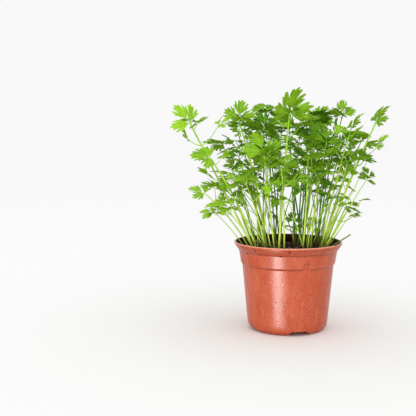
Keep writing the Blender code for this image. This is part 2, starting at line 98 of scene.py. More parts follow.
MM = 0.001
POT_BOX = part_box("pot")
AXIS = (POT_BOX[0] + POT_BOX[1]) / 2  # the pot's axis; the plan below is laid out about it
AXIS.z = 0.0


def linear(hex_colour):
    """An sRGB hex colour as the linear values that Blender works in."""
    values = np.array([int(hex_colour[k:k + 2], 16) for k in (1, 3, 5)]) / 255
    values = np.where(values <= 0.04045, values / 12.92, ((values + 0.055) / 1.055) ** 2.4)
    return (*values.tolist(), 1.0)


def colour_setting(name, description, hex_colour):
    """A property that holds a colour."""
    return FloatVectorProperty(
        name=name, description=description, default=linear(hex_colour), size=4, min=0.0, max=1.0,
        subtype="COLOR",
    )


def length_setting(name, description, default, low, high):
    """A property that holds a length, from its default and its limits in millimetres."""
    return FloatProperty(
        name=name, description=description, default=default * MM, min=low * MM, max=high * MM,
        unit="LENGTH",
    )


# ---------------------------------------------------------------- the plan of the solids
# The same sizes, rules and seed as the solids were grown from, in millimetres and degrees
# about the pot's axis, so that every finer leaf lies where its solid does.
POT_HEIGHT = 99.0
RIM_RADIUS = 60.5
COLLAR_STEP_HEIGHT = 75.2
POT_OUTSIDE = (
    (0.0, 5.4), (36.4, 5.4), (37.2, 1.0), (37.8, 0.0),
    (40.0, 0.0), (42.6, 1.8), (44.4, 4.8), (45.3, 9.6),
    (51.3, COLLAR_STEP_HEIGHT - 1.6), (52.9, COLLAR_STEP_HEIGHT), (55.2, POT_HEIGHT - 9.4),
    (56.3, POT_HEIGHT - 8.8), (RIM_RADIUS - 1.3, POT_HEIGHT - 4.1),
    (RIM_RADIUS - 1.3, POT_HEIGHT - 3.4), (RIM_RADIUS, POT_HEIGHT - 2.6),
    (RIM_RADIUS, POT_HEIGHT - 0.8), (RIM_RADIUS - 0.8, POT_HEIGHT),
)
POT_INSIDE = (
    (RIM_RADIUS - 2.1, POT_HEIGHT - 0.5), (54.1, POT_HEIGHT - 6.6),
    (51.6, COLLAR_STEP_HEIGHT + 0.8), (50.0, COLLAR_STEP_HEIGHT - 1.2),
    (44.0, 10.6), (42.4, 6.8), (0.0, 6.8),
)
POT_SEGMENTS = 40
SOIL_SEGMENTS = 20
SOIL_LEVEL = 89.5
SOIL_GAP = 0.35
SOIL_BUMP = 0.8
SOIL_RINGS = (0.78, 0.5, 0.25)
HOLE_SIDES = 5
HOLE_RADIUS = 1.75
HOLE_TOP = 4.0
ROOT_DEPTH = 7.0
ROOT_CLEARANCE = 0.4
STEM_SIDES = 4
SIDE_HINT = (0.3, 1.0, 0.1)
STEM_STEPS = 5
STEM_RADII = (1.15, 0.65)
STEM_STRAIGHT = 2.5
STEM_LEAN = 0.42
STEM_BEND = 0.53
STALK_RADIUS = 0.65
STALK_SAG = 0.1
BLADE_THICKNESS = 0.65
LEAF_ARCH = 0.22
LEAF_DROOPS = (0.25, 0.5)
LEAF_WAVES = (-0.06, 0.06)
GUARD = 0.3
LEAFLET_HEADINGS = (-68.0, 0.0, 68.0)
LEAFLET_LENGTHS = (0.84, 1.0, 0.84)
LEAFLET_CUT = 0.17
BROAD_LEAFLET = (
    (-32, 0.58), (-27, 0.86), (-12, 0.68), (-5, 1.0), (6, 0.97), (12, 0.67), (27, 0.88), (32, 0.6),
)
SLIM_LEAFLET = ((-27, 0.62), (-18, 0.88), (-8, 0.64), (1, 1.0), (12, 0.68), (24, 0.84))
LEAF_TAIL = (150.0, 0.06)
# Root, tip, then length, heading, pitch and roll of the end leaf, and length and heading of the
# two side leaves.
PLACED_STEMS = (
    ((-38, -12), (-107, -30, 231), (29, 180, 42, -50), (22, 10)),
    ((-33, -22), (-84, -40, 193), (23, 195, 12, -30), (20, 110)),
    ((-24, -4), (-56, -10, 235), (26, 60, 68, 20), (20, 170)),
    ((-10, -30), (0, -32, 240), (34, -62, 74, 6), (22, 175)),
    ((38, -8), (94, -12, 232), (22, 5, 68, -30), (18, 160)),
    ((33, 2), (59, 6, 240), (19, 80, 70, 0), (19, 0)),
    ((36, -18), (66, -26, 226), (22, -30, 60, 10), (18, 20)),
    ((24, -18), (40, -30, 210), (27, 85, 45, 10), (22, 20)),
    ((36, -24), (66, -30, 139), (18, -5, -8, -15), (14, 170)),
    ((8, -14), (6, -26, 118), (18, -75, 8, 0), (13, 170)),
    ((-14, -27), (-26, -54, 200), (30, 135, 50, -30), (24, 20)),
    ((-24, -26), (-44, -66, 168), (25, 250, 30, -10), (22, 170)),
    ((-40, -14), (-90, -30, 152), (22, 178, 25, -25), (20, 80)),
    ((-36, -24), (-68, -56, 142), (22, 200, 10, -20), (18, 100)),
    ((-4, -34), (-8, -66, 186), (25, -85, 25, 0), (22, 170)),
    ((16, -30), (20, -64, 194), (24, -60, 30, 10), (21, 10)),
    ((40, 2), (84, 0, 204), (23, 10, 35, -30), (20, 90)),
    ((12, -4), (20, -10, 218), (28, 60, 50, 10), (23, 140)),
    ((-14, 2), (-26, 2, 226), (26, 130, 55, -10), (22, 60)),
)
CROWN_STEMS = 16
CROWN_TURN = 12.0
CROWN_REACH = (26.0, 92.0)
CROWN_TOP = 240.0
CROWN_FALL = 42.0
CROWN_UNEVEN = (-12.0, 8.0)
CROWN_DEPTH = 0.75
CROWN_SHIFT = 24.0
TUFTS = ((-28, 6), (-6, 14), (10, 6), (30, 8), (14, 30), (-16, 32))
TUFT_REACH = 0.4
TUFT_SPREAD = 0.16
END_LEAF_LENGTHS = (22.0, 28.0)
END_LEAF_TURN = 50.0
END_LEAF_PITCHES = (0.0, 65.0)
SIDE_LEAF_LENGTHS = (18.0, 23.0)
SIDE_LEAF_ANGLES = (65.0, 115.0)
SIDE_LEAF_TURN = 20.0
SIDE_LEAF_PITCHES = (0.0, 60.0)
SIDE_LEAF_SHARES = (0.68, 0.86)
SIDE_STALK_LENGTHS = (13.0, 20.0)
SIDE_STALK_RISES = (0.4, 1.2)
LEAF_ROLLS = (-35.0, 35.0)
STEM_TRIES = 150
STEM_WANDER = (0.5, 0.16)
ROOT_WANDER = 0.25
TIP_WANDER = 0.4
BEND_WANDER = (2.5, 0.16)
LEAF_TRIES = 100
LEAF_WANDER = (4.0, 0.9)
LEAF_TILT_WANDER = 0.6
LEAF_SHRINK = 0.005
GOLDEN_ANGLE = 137.508
PLAN_SEED = 15
BARE_STEMS = (  # root and tip
    ((36, -24), (67, -31, 111)),
    ((-4, -38), (-36, -33, 103)),
    ((16, 8), (4, 26, 168)),
    ((30, 18), (48, 34, 158)),
    ((-26, 20), (-44, 38, 160)),
)
PLAN_TOLERANCE = 0.3


def unit(vector):
    """The vector at a length of 1."""
    return vector / np.linalg.norm(vector)


def on_circle(radius, degrees):
    """The point (radius cos a, radius sin a)."""
    angle = math.radians(degrees)
    return np.array((radius * math.cos(angle), radius * math.sin(angle)))


def grid_quads(rows, columns):
    """The four corners of each face of a grid of points that closes on itself sideways."""
    row, column = np.meshgrid(np.arange(rows - 1), np.arange(columns), indexing="ij")
    after = (column + 1) % columns
    low, high = row * columns, (row + 1) * columns
    return np.stack([low + column, low + after, high + after, high + column], -1).reshape(-1, 4)


def fan(centre, ring, outwards):
    """Triangles from a centre point to a closed ring of points."""
    after = np.roll(ring, -1)
    pair = (ring, after) if outwards else (after, ring)
    return np.stack([np.full(len(ring), centre), *pair], -1)


def lathed(profile, angles):
    """A profile of (radius, height) rows turned round Z: (radius cos a, radius sin a, height).

    Its first and last rows lie on the axis, and become one point each.
    """
    profile, angles = np.array(profile, float), np.asarray(angles, float)
    radius, height = profile[1:-1, 0, None], profile[1:-1, 1, None]
    rings = np.stack([radius * np.cos(angles), radius * np.sin(angles), height + 0 * angles], -1)
    n, count = len(angles), rings.shape[0] * len(angles)
    points = np.vstack([(0, 0, profile[0, 1]), rings.reshape(-1, 3), (0, 0, profile[-1, 1])])
    first, last = 1 + np.arange(n), 1 + count - n + np.arange(n)
    triangles = np.vstack([fan(0, first, False), fan(count + 1, last, True)])
    return points, triangles, 1 + grid_quads(len(rings), n)


def carried(path, radii, sides):
    """A ring of points carried along a path: centre + radius (cos a side + sin a other).

    The first side is square to the path and to a hint, and each next one is the last made
    square to the path again, so that the tube doesn't twist. Its ends are left open.
    """
    path = np.array(path, float)
    steps = np.gradient(path, axis=0)
    side = unit(np.cross(steps[0], SIDE_HINT))
    frames = []
    for step in steps:
        along = unit(step)
        side = unit(side - along * (side @ along))
        frames.append((side, np.cross(along, side)))
    frames = np.array(frames)
    angles = 2 * np.pi * np.arange(sides) / sides
    radii = np.asarray(radii, float).reshape(len(path), -1, 1)
    turn = np.cos(angles)[:, None] * frames[:, None, 0] + np.sin(angles)[:, None] * frames[:, None, 1]
    points = (path[:, None] + radii * turn).reshape(-1, 3)
    return points, grid_quads(len(path), sides)


def tube(path, radii, sides):
    """Points and faces of a closed bar, as the plan's free space is kept by it."""
    points, quads = carried(path, radii, sides)
    ends = [list(range(sides - 1, -1, -1)), list(range(len(points) - sides, len(points)))]
    return points, [*quads.tolist(), *ends]


def lathed_faces(profile, segments):
    """A turned profile's points, and its triangles and quads in one list."""
    points, triangles, quads = lathed(profile, 2 * np.pi * np.arange(segments) / segments)
    return points, [*triangles.tolist(), *quads.tolist()]


def soil_profile():
    """The pot's inside, a little smaller, from the middle of its floor up to the soil's edge."""
    high, *wall = [(r - SOIL_GAP, z + SOIL_GAP) for r, z in POT_INSIDE[-2:0:-1]][::-1]
    share = (SOIL_LEVEL - wall[0][1]) / (high[1] - wall[0][1])
    edge = wall[0][0] + share * (high[0] - wall[0][0])
    return [(0.0, wall[-1][1]), *wall[::-1], (edge, SOIL_LEVEL)]


def plan_soil(rng):
    """The solid's compost: its profile turned round, with an uneven top of a few rings."""
    profile = soil_profile()
    edge = profile[-1][0]
    profile += [(edge * ring, SOIL_LEVEL) for ring in SOIL_RINGS] + [(0.0, SOIL_LEVEL)]
    points, faces = lathed_faces(profile, SOIL_SEGMENTS)
    uneven = SOIL_SEGMENTS * len(SOIL_RINGS) + 1
    points[-uneven:, 2] += rng.uniform(-SOIL_BUMP, SOIL_BUMP, uneven)
    return points, faces


def leaf_edge(leaflet):
    """A whole leaf's edge as (angle from its middle rib, share of its length) rows."""
    angle, reach = LEAF_TAIL
    rows = [(-angle, reach)]
    for k, (heading, length) in enumerate(zip(LEAFLET_HEADINGS, LEAFLET_LENGTHS)):
        if k:
            rows.append(((heading + LEAFLET_HEADINGS[k - 1]) / 2, LEAFLET_CUT))
        rows += [(heading + turn, length * share) for turn, share in leaflet]
    rows.append((angle, reach))
    return np.array(rows)


def leaf_height(reach, angle, droop, wave):
    """How far a blade rises from its plane, as a share of its length: arched and waved."""
    return LEAF_ARCH * reach - droop * reach**2 + wave * reach * np.sin(2 * angle + 0.7)


def blade(leaf, grow):
    """The solid's blade, grown by the free space that the plan keeps round it."""
    angles, reach = leaf_edge(leaf["leaflet"]).T
    angles = np.radians(angles)
    length = leaf["length"]
    flat = np.cos(angles)[:, None] * leaf["ahead"] + np.sin(angles)[:, None] * leaf["across"]
    lift = length * leaf_height(reach, angles, leaf["droop"], leaf["wave"])
    edge = leaf["base"] + flat * (reach * length + grow)[:, None] + leaf["up"] * lift[:, None]
    half = leaf["up"] * (BLADE_THICKNESS / 2 + grow)
    n = len(edge)
    points = np.vstack([leaf["base"] + half, edge + half, leaf["base"] - half, edge - half])
    under, k = n + 1, np.arange(1, n)
    faces = np.vstack([
        np.stack([0 * k, k, k + 1], -1), np.stack([0 * k + under, under + k + 1, under + k], -1),
        np.stack([k, under + k, k + 1], -1), np.stack([k + 1, under + k, under + k + 1], -1),
        [(0, n, 1), (under, under + 1, under + n)],
    ])
    return points, faces.tolist()


def leaf_at(base, aim, leaflet, rng):
    """A leaf's place: where it is joined, its length and its three directions."""
    length, heading, pitch, roll = aim
    heading, pitch, roll = np.radians((heading, pitch, roll))
    level = np.array((math.cos(heading), math.sin(heading), 0.0))
    left = np.array((-math.sin(heading), math.cos(heading), 0.0))
    ahead = math.cos(pitch) * level + np.array((0, 0, math.sin(pitch)))
    across = math.cos(roll) * left + math.sin(roll) * unit(np.cross(ahead, left))
    droop, wave = draws(rng, LEAF_DROOPS, LEAF_WAVES)
    return {
        "base": np.array(base), "length": length, "leaflet": leaflet, "droop": droop, "wave": wave,
        "ahead": ahead, "across": across, "up": unit(np.cross(ahead, across)),
    }


def stem_curve(root, tip, lean, share):
    """A point on a stem, which leaves the soil steeply and bends towards its tip."""
    root, tip = np.array(root), np.array(tip)
    rise = tip[2] - root[2]
    bend = root + (tip - root) * (STEM_LEAN, STEM_LEAN, 0.0) + (*lean, STEM_BEND * rise)
    share = np.asarray(share, float)[..., None]
    return (1 - share) ** 2 * root + 2 * share * (1 - share) * bend + share**2 * tip


def stem_path(root, tip, lean):
    """The straight steps of the solid's stem, from its root below the soil to its tip."""
    curve = stem_curve(root, tip, lean, np.linspace(0, 1, STEM_STEPS + 1))
    start = unit(stem_curve(root, tip, lean, 0.02) - curve[0])
    return [curve[0] - start * ROOT_DEPTH, curve[0] + start * STEM_STRAIGHT, *curve[1:]]


def stem_radii(grow):
    """The solid's radii along a stem, from its foot to its tip."""
    return np.linspace(*STEM_RADII, STEM_STEPS + 2) + grow


def stalk_path(start, base):
    """A side stalk leaves the stem flat and curves up to its leaf."""
    middle = (start + base) / 2 - (0, 0, STALK_SAG * np.linalg.norm(base - start))
    return [start, middle, base]


def tree_of(points, faces):
    return BVHTree.FromPolygons(points.tolist(), faces)


class Crowd:
    """What has been placed so far, each piece with the free space that it keeps round it."""

    def __init__(self):
        self.placed = []
        self.lows = self.highs = np.empty((0, 3))

    def add(self, group, shape):
        self.placed.append((group, tree_of(*shape)))
        self.lows = np.vstack([self.lows, shape[0].min(axis=0)])
        self.highs = np.vstack([self.highs, shape[0].max(axis=0)])

    def is_clear(self, shape, ignored=()):
        low, high = shape[0].min(axis=0), shape[0].max(axis=0)
        near = np.flatnonzero(((low <= self.highs) & (high >= self.lows)).all(axis=1))
        others = [self.placed[k][1] for k in near if self.placed[k][0] not in ignored]
        if not others:
            return True
        tree = tree_of(*shape)
        return not any(tree.overlap(other) for other in others)


def root_hole(path):
    """The hole that the solid's compost has for a stem."""
    foot, above = path[0], path[1]
    along = unit(above - foot)
    ends = [foot - along * ROOT_CLEARANCE, foot + along * (ROOT_DEPTH + HOLE_TOP)]
    return tube(ends, (HOLE_RADIUS,) * 2, HOLE_SIDES)


def grown_stem(name, root, tip, crowd, rng):
    """Bends a stem clear of what is placed, a little further at each try."""
    for attempt in range(STEM_TRIES):
        reach = STEM_WANDER[0] + STEM_WANDER[1] * attempt
        foot = (*(np.array(root) + rng.normal(0, ROOT_WANDER * reach, 2)), SOIL_LEVEL)
        end = np.array(tip) + rng.normal(0, TIP_WANDER * reach, 3)
        lean = rng.normal(0, BEND_WANDER[0] + BEND_WANDER[1] * attempt, 2)
        path = stem_path(foot, end, lean)
        radii = stem_radii(GUARD)
        guard = tube(path, radii, STEM_SIDES)
        hole = root_hole(path)
        if crowd.is_clear(guard, ("soil",)) and crowd.is_clear(hole, ("soil",)):
            crowd.add("root_hole", hole)
            crowd.add(name, tube(path[:-1], radii[:-1], STEM_SIDES))
            crowd.add(name + "_end", tube(path[-2:], radii[-2:], STEM_SIDES))
            return {"name": name, "root": foot, "tip": end, "lean": lean, "path": path}
    raise RuntimeError(f"{name} finds no clear way up")


def grown_end_leaf(stem, aim, crowd, rng):
    """Turns and shortens the end leaf until it hangs clear of all but the stem's own end."""
    for attempt in range(LEAF_TRIES):
        leaf = leaf_at(stem["tip"], turned(aim, attempt, rng), BROAD_LEAFLET, rng)
        guard = blade(leaf, GUARD)
        if crowd.is_clear(guard, (stem["name"] + "_end",)):
            crowd.add(stem["name"] + "_leaf", guard)
            return leaf
    raise RuntimeError(f"{stem['name']} has no room for its end leaf")


def grown_side_leaf(stem, start, aim, reaches, tries, crowd, rng):
    """The same for a leaf on a side stalk that starts inside the stem. None where it has no room."""
    own = (stem["name"], stem["name"] + "_end", stem["name"] + "_stalk")
    for attempt in range(tries):
        length, heading, pitch, roll = turned(aim, attempt, rng)
        reach = rng.uniform(*reaches)
        base = start + (*on_circle(reach, heading), reach * rng.uniform(*SIDE_STALK_RISES))
        leaf = leaf_at(base, (length, heading, pitch, roll), SLIM_LEAFLET, rng)
        stalk = stalk_path(start, base)
        guard = blade(leaf, GUARD)
        stalk_guard = tube(stalk, (STALK_RADIUS + GUARD,) * 3, STEM_SIDES)
        if crowd.is_clear(guard) and crowd.is_clear(stalk_guard, own):
            crowd.add(stem["name"] + "_leaf", guard)
            crowd.add(stem["name"] + "_stalk", stalk_guard)
            return {**leaf, "stalk": stalk}
    return None


def turned(aim, attempt, rng):
    """An aim turned at random, and shortened, a little more at each try."""
    length, heading, pitch, roll = aim
    turn, tilt, twist = rng.normal(0, LEAF_WANDER[0] + LEAF_WANDER[1] * attempt, 3)
    pitch += LEAF_TILT_WANDER * tilt
    roll += LEAF_TILT_WANDER * twist
    return length * (1 - LEAF_SHRINK * attempt), heading + turn, pitch, roll


def draws(rng, *limits):
    """One number between each two limits, drawn in turn."""
    return [rng.uniform(*pair) for pair in limits]


def crown_plan(rng):
    """Root, tip, end leaf and side leaves of each stem that fills the crown.

    The tips turn by the golden angle over an ellipse, and each root lies in the nearest tuft.
    """
    rows = []
    inner, outer = CROWN_REACH
    for k in range(CROWN_STEMS):
        share = (k + 0.5) / CROWN_STEMS
        angle = k * GOLDEN_ANGLE + rng.uniform(-CROWN_TURN, CROWN_TURN)
        x, y = on_circle(math.sqrt(inner**2 + share * (outer**2 - inner**2)), angle)
        z = CROWN_TOP - CROWN_FALL * share + rng.uniform(*CROWN_UNEVEN)
        tip = np.array((x, y * CROWN_DEPTH + CROWN_SHIFT))
        tuft = min(TUFTS, key=lambda middle: np.linalg.norm(TUFT_REACH * tip - middle))
        root = tuft + TUFT_SPREAD * (tip - tuft)
        heading = angle + rng.uniform(-END_LEAF_TURN, END_LEAF_TURN)
        length, pitch, roll = draws(rng, END_LEAF_LENGTHS, END_LEAF_PITCHES, LEAF_ROLLS)
        side_leaf = (rng.uniform(*SIDE_LEAF_LENGTHS), heading + rng.uniform(*SIDE_LEAF_ANGLES))
        rows.append((root, (*tip, z), (length, heading, pitch, roll), side_leaf))
    return rows


def grow_plant():
    """Every stem in turn, each bent and turned clear of those before it."""
    rng = np.random.default_rng(PLAN_SEED)
    crowd = Crowd()
    soil = plan_soil(rng)
    crowd.add("pot", lathed_faces(POT_OUTSIDE + POT_INSIDE, POT_SEGMENTS))
    crowd.add("soil", soil)
    plan = [*PLACED_STEMS, *crown_plan(rng)]
    bare = [
        grown_stem(f"bare_stem_{k + 1}", root, tip, crowd, rng)
        for k, (root, tip) in enumerate(BARE_STEMS)
    ]
    stems = [
        grown_stem(f"leafy_stem_{k + 1:02d}", root, tip, crowd, rng)
        for k, (root, tip, _, _) in enumerate(plan)
    ]
    for stem, (_, _, end_leaf, _) in zip(stems, plan):
        stem["end_leaf"] = grown_end_leaf(stem, end_leaf, crowd, rng)
    for stem, (_, _, _, (length, heading)) in zip(stems, plan):
        share = rng.uniform(*SIDE_LEAF_SHARES)
        start = stem_curve(stem["root"], stem["tip"], stem["lean"], share)
        leaves = []
        for turn in (0.0, 180.0):
            pitch, roll = draws(rng, SIDE_LEAF_PITCHES, LEAF_ROLLS)
            sideways = heading + turn + rng.uniform(-SIDE_LEAF_TURN, SIDE_LEAF_TURN)
            aim = (length, sideways, pitch, roll)
            leaves.append(grown_side_leaf(stem, start, aim, SIDE_STALK_LENGTHS, LEAF_TRIES, crowd, rng))
        stem["side_leaves"] = [leaf for leaf in leaves if leaf]
        stem["heading"] = heading
    return stems, bare, crowd


def check_plan(stems):
    """Raises unless every leafy stem lies in the box of the solid that it stands for."""
    for stem in stems:
        shapes = [tube(stem["path"], stem_radii(0.0), STEM_SIDES)[0], blade(stem["end_leaf"], 0.0)[0]]
        shapes += [blade(leaf, 0.0)[0] for leaf in stem["side_leaves"]]
        points = np.vstack(shapes) * MM + np.array(AXIS)
        low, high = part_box(stem["name"])
        off = max(np.abs(points.min(axis=0) - low).max(), np.abs(points.max(axis=0) - high).max())
        if off > PLAN_TOLERANCE * MM:
            raise RuntimeError(f"{stem['name']} lies {off / MM:.2f} mm off its solid")


# ---------------------------------------------------------------- meshes and materials


class Shell:
    """Closed shapes gathered into one mesh, in millimetres about the pot's axis."""

    def __init__(self):
        self.points, self.faces, self.tints, self.plans = [], [], [], []
        self.count = 0

    def add(self, points, faces, tint=0.5, plan=(0.0, 0.0)):
        """Adds points and their faces: rows of (array of corners, number of its material)."""
        n = len(points)
        self.points.append(points)
        self.faces += [(np.asarray(corners) + self.count, finish) for corners, finish in faces]
        self.tints.append(np.broadcast_to(tint, n))
        self.plans.append(np.broadcast_to(plan, (n, 2)))
        self.count += n

    def add_bar(self, path, radii, sides, finish=0, tint=0.5):
        """A bar carried along a path, its two ends closed by fans round their middles."""
        points, quads = carried(path, radii, sides)
        n = len(points)
        ends = np.vstack([
            fan(n, np.arange(sides), False), fan(n + 1, n - sides + np.arange(sides), True),
        ])
        self.add(np.vstack([points, path[0], path[-1]]), [(quads, finish), (ends, finish)], tint)

    def mesh(self, name):
        """The gathered mesh, in metres and in its place, with its tints and leaf plans."""
        points = np.vstack(self.points) * MM + np.array(AXIS)
        corners = np.concatenate([rows.ravel() for rows, _ in self.faces])
        sizes = np.concatenate([np.full(len(rows), rows.shape[1]) for rows, _ in self.faces])
        finishes = np.concatenate([np.full(len(rows), finish) for rows, finish in self.faces])
        mesh = bpy.data.meshes.new(name)
        mesh.vertices.add(len(points))
        mesh.vertices.foreach_set("co", points.astype(np.float32).ravel())
        mesh.loops.add(len(corners))
        mesh.loops.foreach_set("vertex_index", corners.astype(np.int32))
        mesh.polygons.add(len(sizes))
        mesh.polygons.foreach_set("loop_start", (np.cumsum(sizes) - sizes).astype(np.int32))
        mesh.update(calc_edges=True)
        mesh.polygons.foreach_set("material_index", finishes.astype(np.int32))
        add_attribute(mesh, "tint", np.concatenate(self.tints))
        plan = mesh.uv_layers.new(name="leaf_plan")
        plan.data.foreach_set("uv", np.vstack(self.plans)[corners].astype(np.float32).ravel())
        if mesh.validate():
            raise RuntimeError(f"{name} has faces that don't hold together")
        return mesh


def add_attribute(mesh, name, values):
    """One number for each point of a mesh, which its materials read."""
    layer = mesh.attributes.new(name, "FLOAT", "POINT")
    layer.data.foreach_set("value", np.asarray(values, np.float32))


def add_piece(name, mesh, materials, replaced=(), sharp=60.0):
    """A finished piece of the object: smooth, with its materials, riding on the body."""
    piece = bpy.data.objects.new(name, mesh)
    bpy.context.scene.collection.objects.link(piece)
    for material in materials:
        mesh.materials.append(material)
    mesh.shade_smooth()
    mesh.set_sharp_from_angle(angle=math.radians(sharp))
    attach(piece, "root")
    if replaced:
        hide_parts(*replaced)
    return piece


def add_node(tree, kind, inputs=None, output=0, **settings):
    """Adds a node with its settings, and a value or a link in each input. Gives one output."""
    node = tree.nodes.new("ShaderNode" + kind)
    for name, setting in settings.items():
        setattr(node, name, setting)
    for socket, source in (inputs or {}).items():
        if isinstance(source, bpy.types.NodeSocket):
            tree.links.new(source, node.inputs[socket])
        else:
            node.inputs[socket].default_value = source
    return node.outputs[output] if node.outputs else None


def new_material(name):
    """An empty material, what adds a node to it, and its Object coordinates."""
    made = bpy.data.materials.new(name)
    made.use_nodes = True
    made.node_tree.nodes.clear()
    add = partial(add_node, made.node_tree)
    return made, add, add("TexCoord", output="Object")


# ---------------------------------------------------------------- the pot

POT_COLUMNS = 132
ROW_SPACINGS = (5.0, 9.0)  # between the rows of its outside and of its inside
ROW_APART = 0.25  # two rows are never closer than this
COLUMNS_APART = (0.6, 0.2)  # nor an even column to a finer one, nor any two, in degrees
TAB_COLUMNS = (-5.4, 5.41, 0.45)  # from, to and spacing, in millimetres from a tab's middle
ARCH_COLUMNS = (7.4, 15.1, 0.7)  # the same from an arch's middle, on both sides
TAB_ROWS = (0.0, 9.0, 0.6)  # the same, along the profile from the collar's step up
QUARTERS = 90.0 * np.arange(4)  # its tabs, foot arches and drain holes stand in fours
ARCH_ANGLE, ARCH_RADIUS = -72.0, 44.0
ARCH_HALF, ARCH_SIDE = 13.5, 4.8  # half an arch's width at the foot, and the width of its sloping side
TAB_ANGLE, TAB_RADIUS = -67.0, 54.0
TAB_HALF, TAB_HEIGHT = 3.9, 6.2
TAB_WALL = 0.5  # the plastic that is left behind a tab
WALL_TAPER = 0.094
DRAIN_RING, DRAIN_RADIUS, DRAIN_SIDES = 26.0, 3.5, 28
DRAIN_CUT = (3.0, 9.0)  # the heights from which and to which a drain hole is cut


class PotSettings(bpy.types.PropertyGroup):
    """Sizes and colours of the pot."""

    corner: length_setting("Corner rounding", "How far the moulded corners are rounded", 0.7, 0.1, 1.5)
    arch_height: length_setting("Foot arch height", "How high the arches in the foot reach", 5.0, 0.0, 5.2)
    plastic: colour_setting("Plastic", "Colour of the pot's plastic", "#AE421C")
    faded: colour_setting("Faded plastic", "Colour of the plastic where it is worn and dusty", "#C25F3C")
    # Painted shade: the colour that darkens the pot's creases.
    crease_shade_colour: colour_setting("Creases", "Colour of the dust in the pot's creases", "#7A2A1C")
    # Painted shade, with the compost's stain: the dark colour inside the pot.
    stain_and_shade: colour_setting("Inside", "Colour of the stained plastic inside the pot", "#3E0E0C")
    roughness: FloatProperty(
        name="Roughness", description="How matt the plastic is",
        default=0.3, min=0.05, max=1.0, subtype="FACTOR",
    )


def rounded(profile, cut_back, steps=4):
    """A profile whose corners are cut back and bridged by parabolas through the cut ends."""
    profile = np.array(profile, float)
    here = profile[1:-1]
    before, after = profile[:-2] - here, profile[2:] - here
    sizes = np.linalg.norm(before, axis=1), np.linalg.norm(after, axis=1)
    cut = np.minimum(cut_back, 0.45 * np.minimum(*sizes))[:, None]
    start = here + before / sizes[0][:, None] * cut
    end = here + after / sizes[1][:, None] * cut
    t = np.linspace(0, 1, steps)[None, :, None]
    arcs = (1 - t) ** 2 * start[:, None] + 2 * t * (1 - t) * here[:, None] + t**2 * end[:, None]
    return np.vstack([profile[:1], arcs.reshape(-1, 2), profile[-1:]])


def with_rows(profile, spacing, extra):
    """The profile with more rows: evenly along it, and at the extra places along it."""
    run = np.concatenate([[0], np.cumsum(np.linalg.norm(np.diff(profile, axis=0), axis=1))])
    more = np.concatenate([np.arange(spacing, run[-1], spacing), extra])
    more = more[np.abs(more[:, None] - run).min(axis=1) > ROW_APART]
    run_all = np.sort(np.concatenate([run, more]))
    run_all = run_all[np.append(True, np.diff(run_all) > 1e-4)]
    return np.stack([np.interp(run_all, run, profile[:, k]) for k in (0, 1)], -1)


def pot_angles():
    """Even columns round the pot, with finer ones across its tabs and the sides of its arches."""
    tab, side = np.arange(*TAB_COLUMNS), np.arange(*ARCH_COLUMNS)
    tabs = TAB_ANGLE + np.degrees(tab / TAB_RADIUS) + QUARTERS[:, None]
    arches = ARCH_ANGLE + np.degrees(np.concatenate([-side, side]) / (ARCH_RADIUS - 1)) + QUARTERS[:, None]
    even = np.arange(POT_COLUMNS) * 360.0 / POT_COLUMNS
    finer = np.concatenate([tabs.ravel(), arches.ravel()]) % 360
    apart = np.abs((even[:, None] - finer + 180) % 360 - 180).min(axis=1)
    angles = np.sort(np.concatenate([finer, even[apart > COLUMNS_APART[0]]]))
    return np.radians(angles[np.append(True, np.diff(angles) > COLUMNS_APART[1])])


def nearest_turn(angles, first):
    """How far each angle is from the nearest of four that start at the first, in radians."""
    return (angles - math.radians(first) + np.pi / 4) % (np.pi / 2) - np.pi / 4


def soft(value):
    """0 below 0, 1 above 1, and a smooth rise between."""
    value = np.clip(value, 0, 1)
    return value * value * (3 - 2 * value)


def tab_share(radius, height, angles):
    """1 in a collar tab and 0 outside it, by (|s|/w)^3 + (h/H)^3.

    Here s is the way sideways, h the height above the collar's step, and w and H the tab's sizes.
    """
    sideways = radius * nearest_turn(angles, TAB_ANGLE)
    above = np.maximum(height - COLLAR_STEP_HEIGHT, 0)
    form = (np.abs(sideways) / TAB_HALF) ** 3 + (above / TAB_HEIGHT) ** 3
    return soft((1.25 - form) / 0.6) * (height > COLLAR_STEP_HEIGHT - 2.5) * (radius > 50.5)


def pot_points(settings):
    """The turned profile, its foot raised to the arches and its collar pressed flush at the tabs."""
    corner = settings.corner / MM
    outside = rounded(POT_OUTSIDE + POT_INSIDE[:1], corner)[:-1]
    inside = rounded(POT_OUTSIDE[-1:] + POT_INSIDE, corner)[1:]
    run = np.cumsum(np.linalg.norm(np.diff(outside, axis=0), axis=1))
    collar = run[np.argmax(outside[1:, 1] > COLLAR_STEP_HEIGHT - 1.0)]
    outside = with_rows(outside, ROW_SPACINGS[0], collar + np.arange(*TAB_ROWS))
    inside = with_rows(inside, ROW_SPACINGS[1], [])
    angles = pot_angles()
    points, triangles, quads = lathed(np.vstack([outside, inside]), angles)
    x, y, z = points.T
    radius, turn = np.hypot(x, y), np.arctan2(y, x)
    n, rows = len(angles), len(outside) - 1
    is_outside = np.arange(len(points)) < 1 + rows * n
    # A tab lies flush with the wall below the collar, but never closer to the inside than its wall.
    wall_radii, wall_heights = np.array(POT_INSIDE[4:0:-1]).T
    below, step = POT_OUTSIDE[8]
    flush = np.interp(z, wall_heights, wall_radii) + TAB_WALL
    flush = np.maximum(flush, below + WALL_TAPER * (z - step))
    radius = radius - tab_share(radius, z, turn) * is_outside * np.maximum(radius - flush, 0)
    sideways = np.abs(ARCH_RADIUS * nearest_turn(turn, ARCH_ANGLE))
    arch = settings.arch_height / MM * np.clip((ARCH_HALF - sideways) / ARCH_SIDE, 0, 1)
    z = np.where(is_outside & (z < POT_OUTSIDE[0][1] - 0.1), np.maximum(z, arch), z)
    start = (rows + 1) * n
    faces = [(triangles[:n], 0), (quads[:start], 0), (quads[start:], 1), (triangles[n:], 1)]
    return np.stack([radius * np.cos(turn), radius * np.sin(turn), z], -1), faces


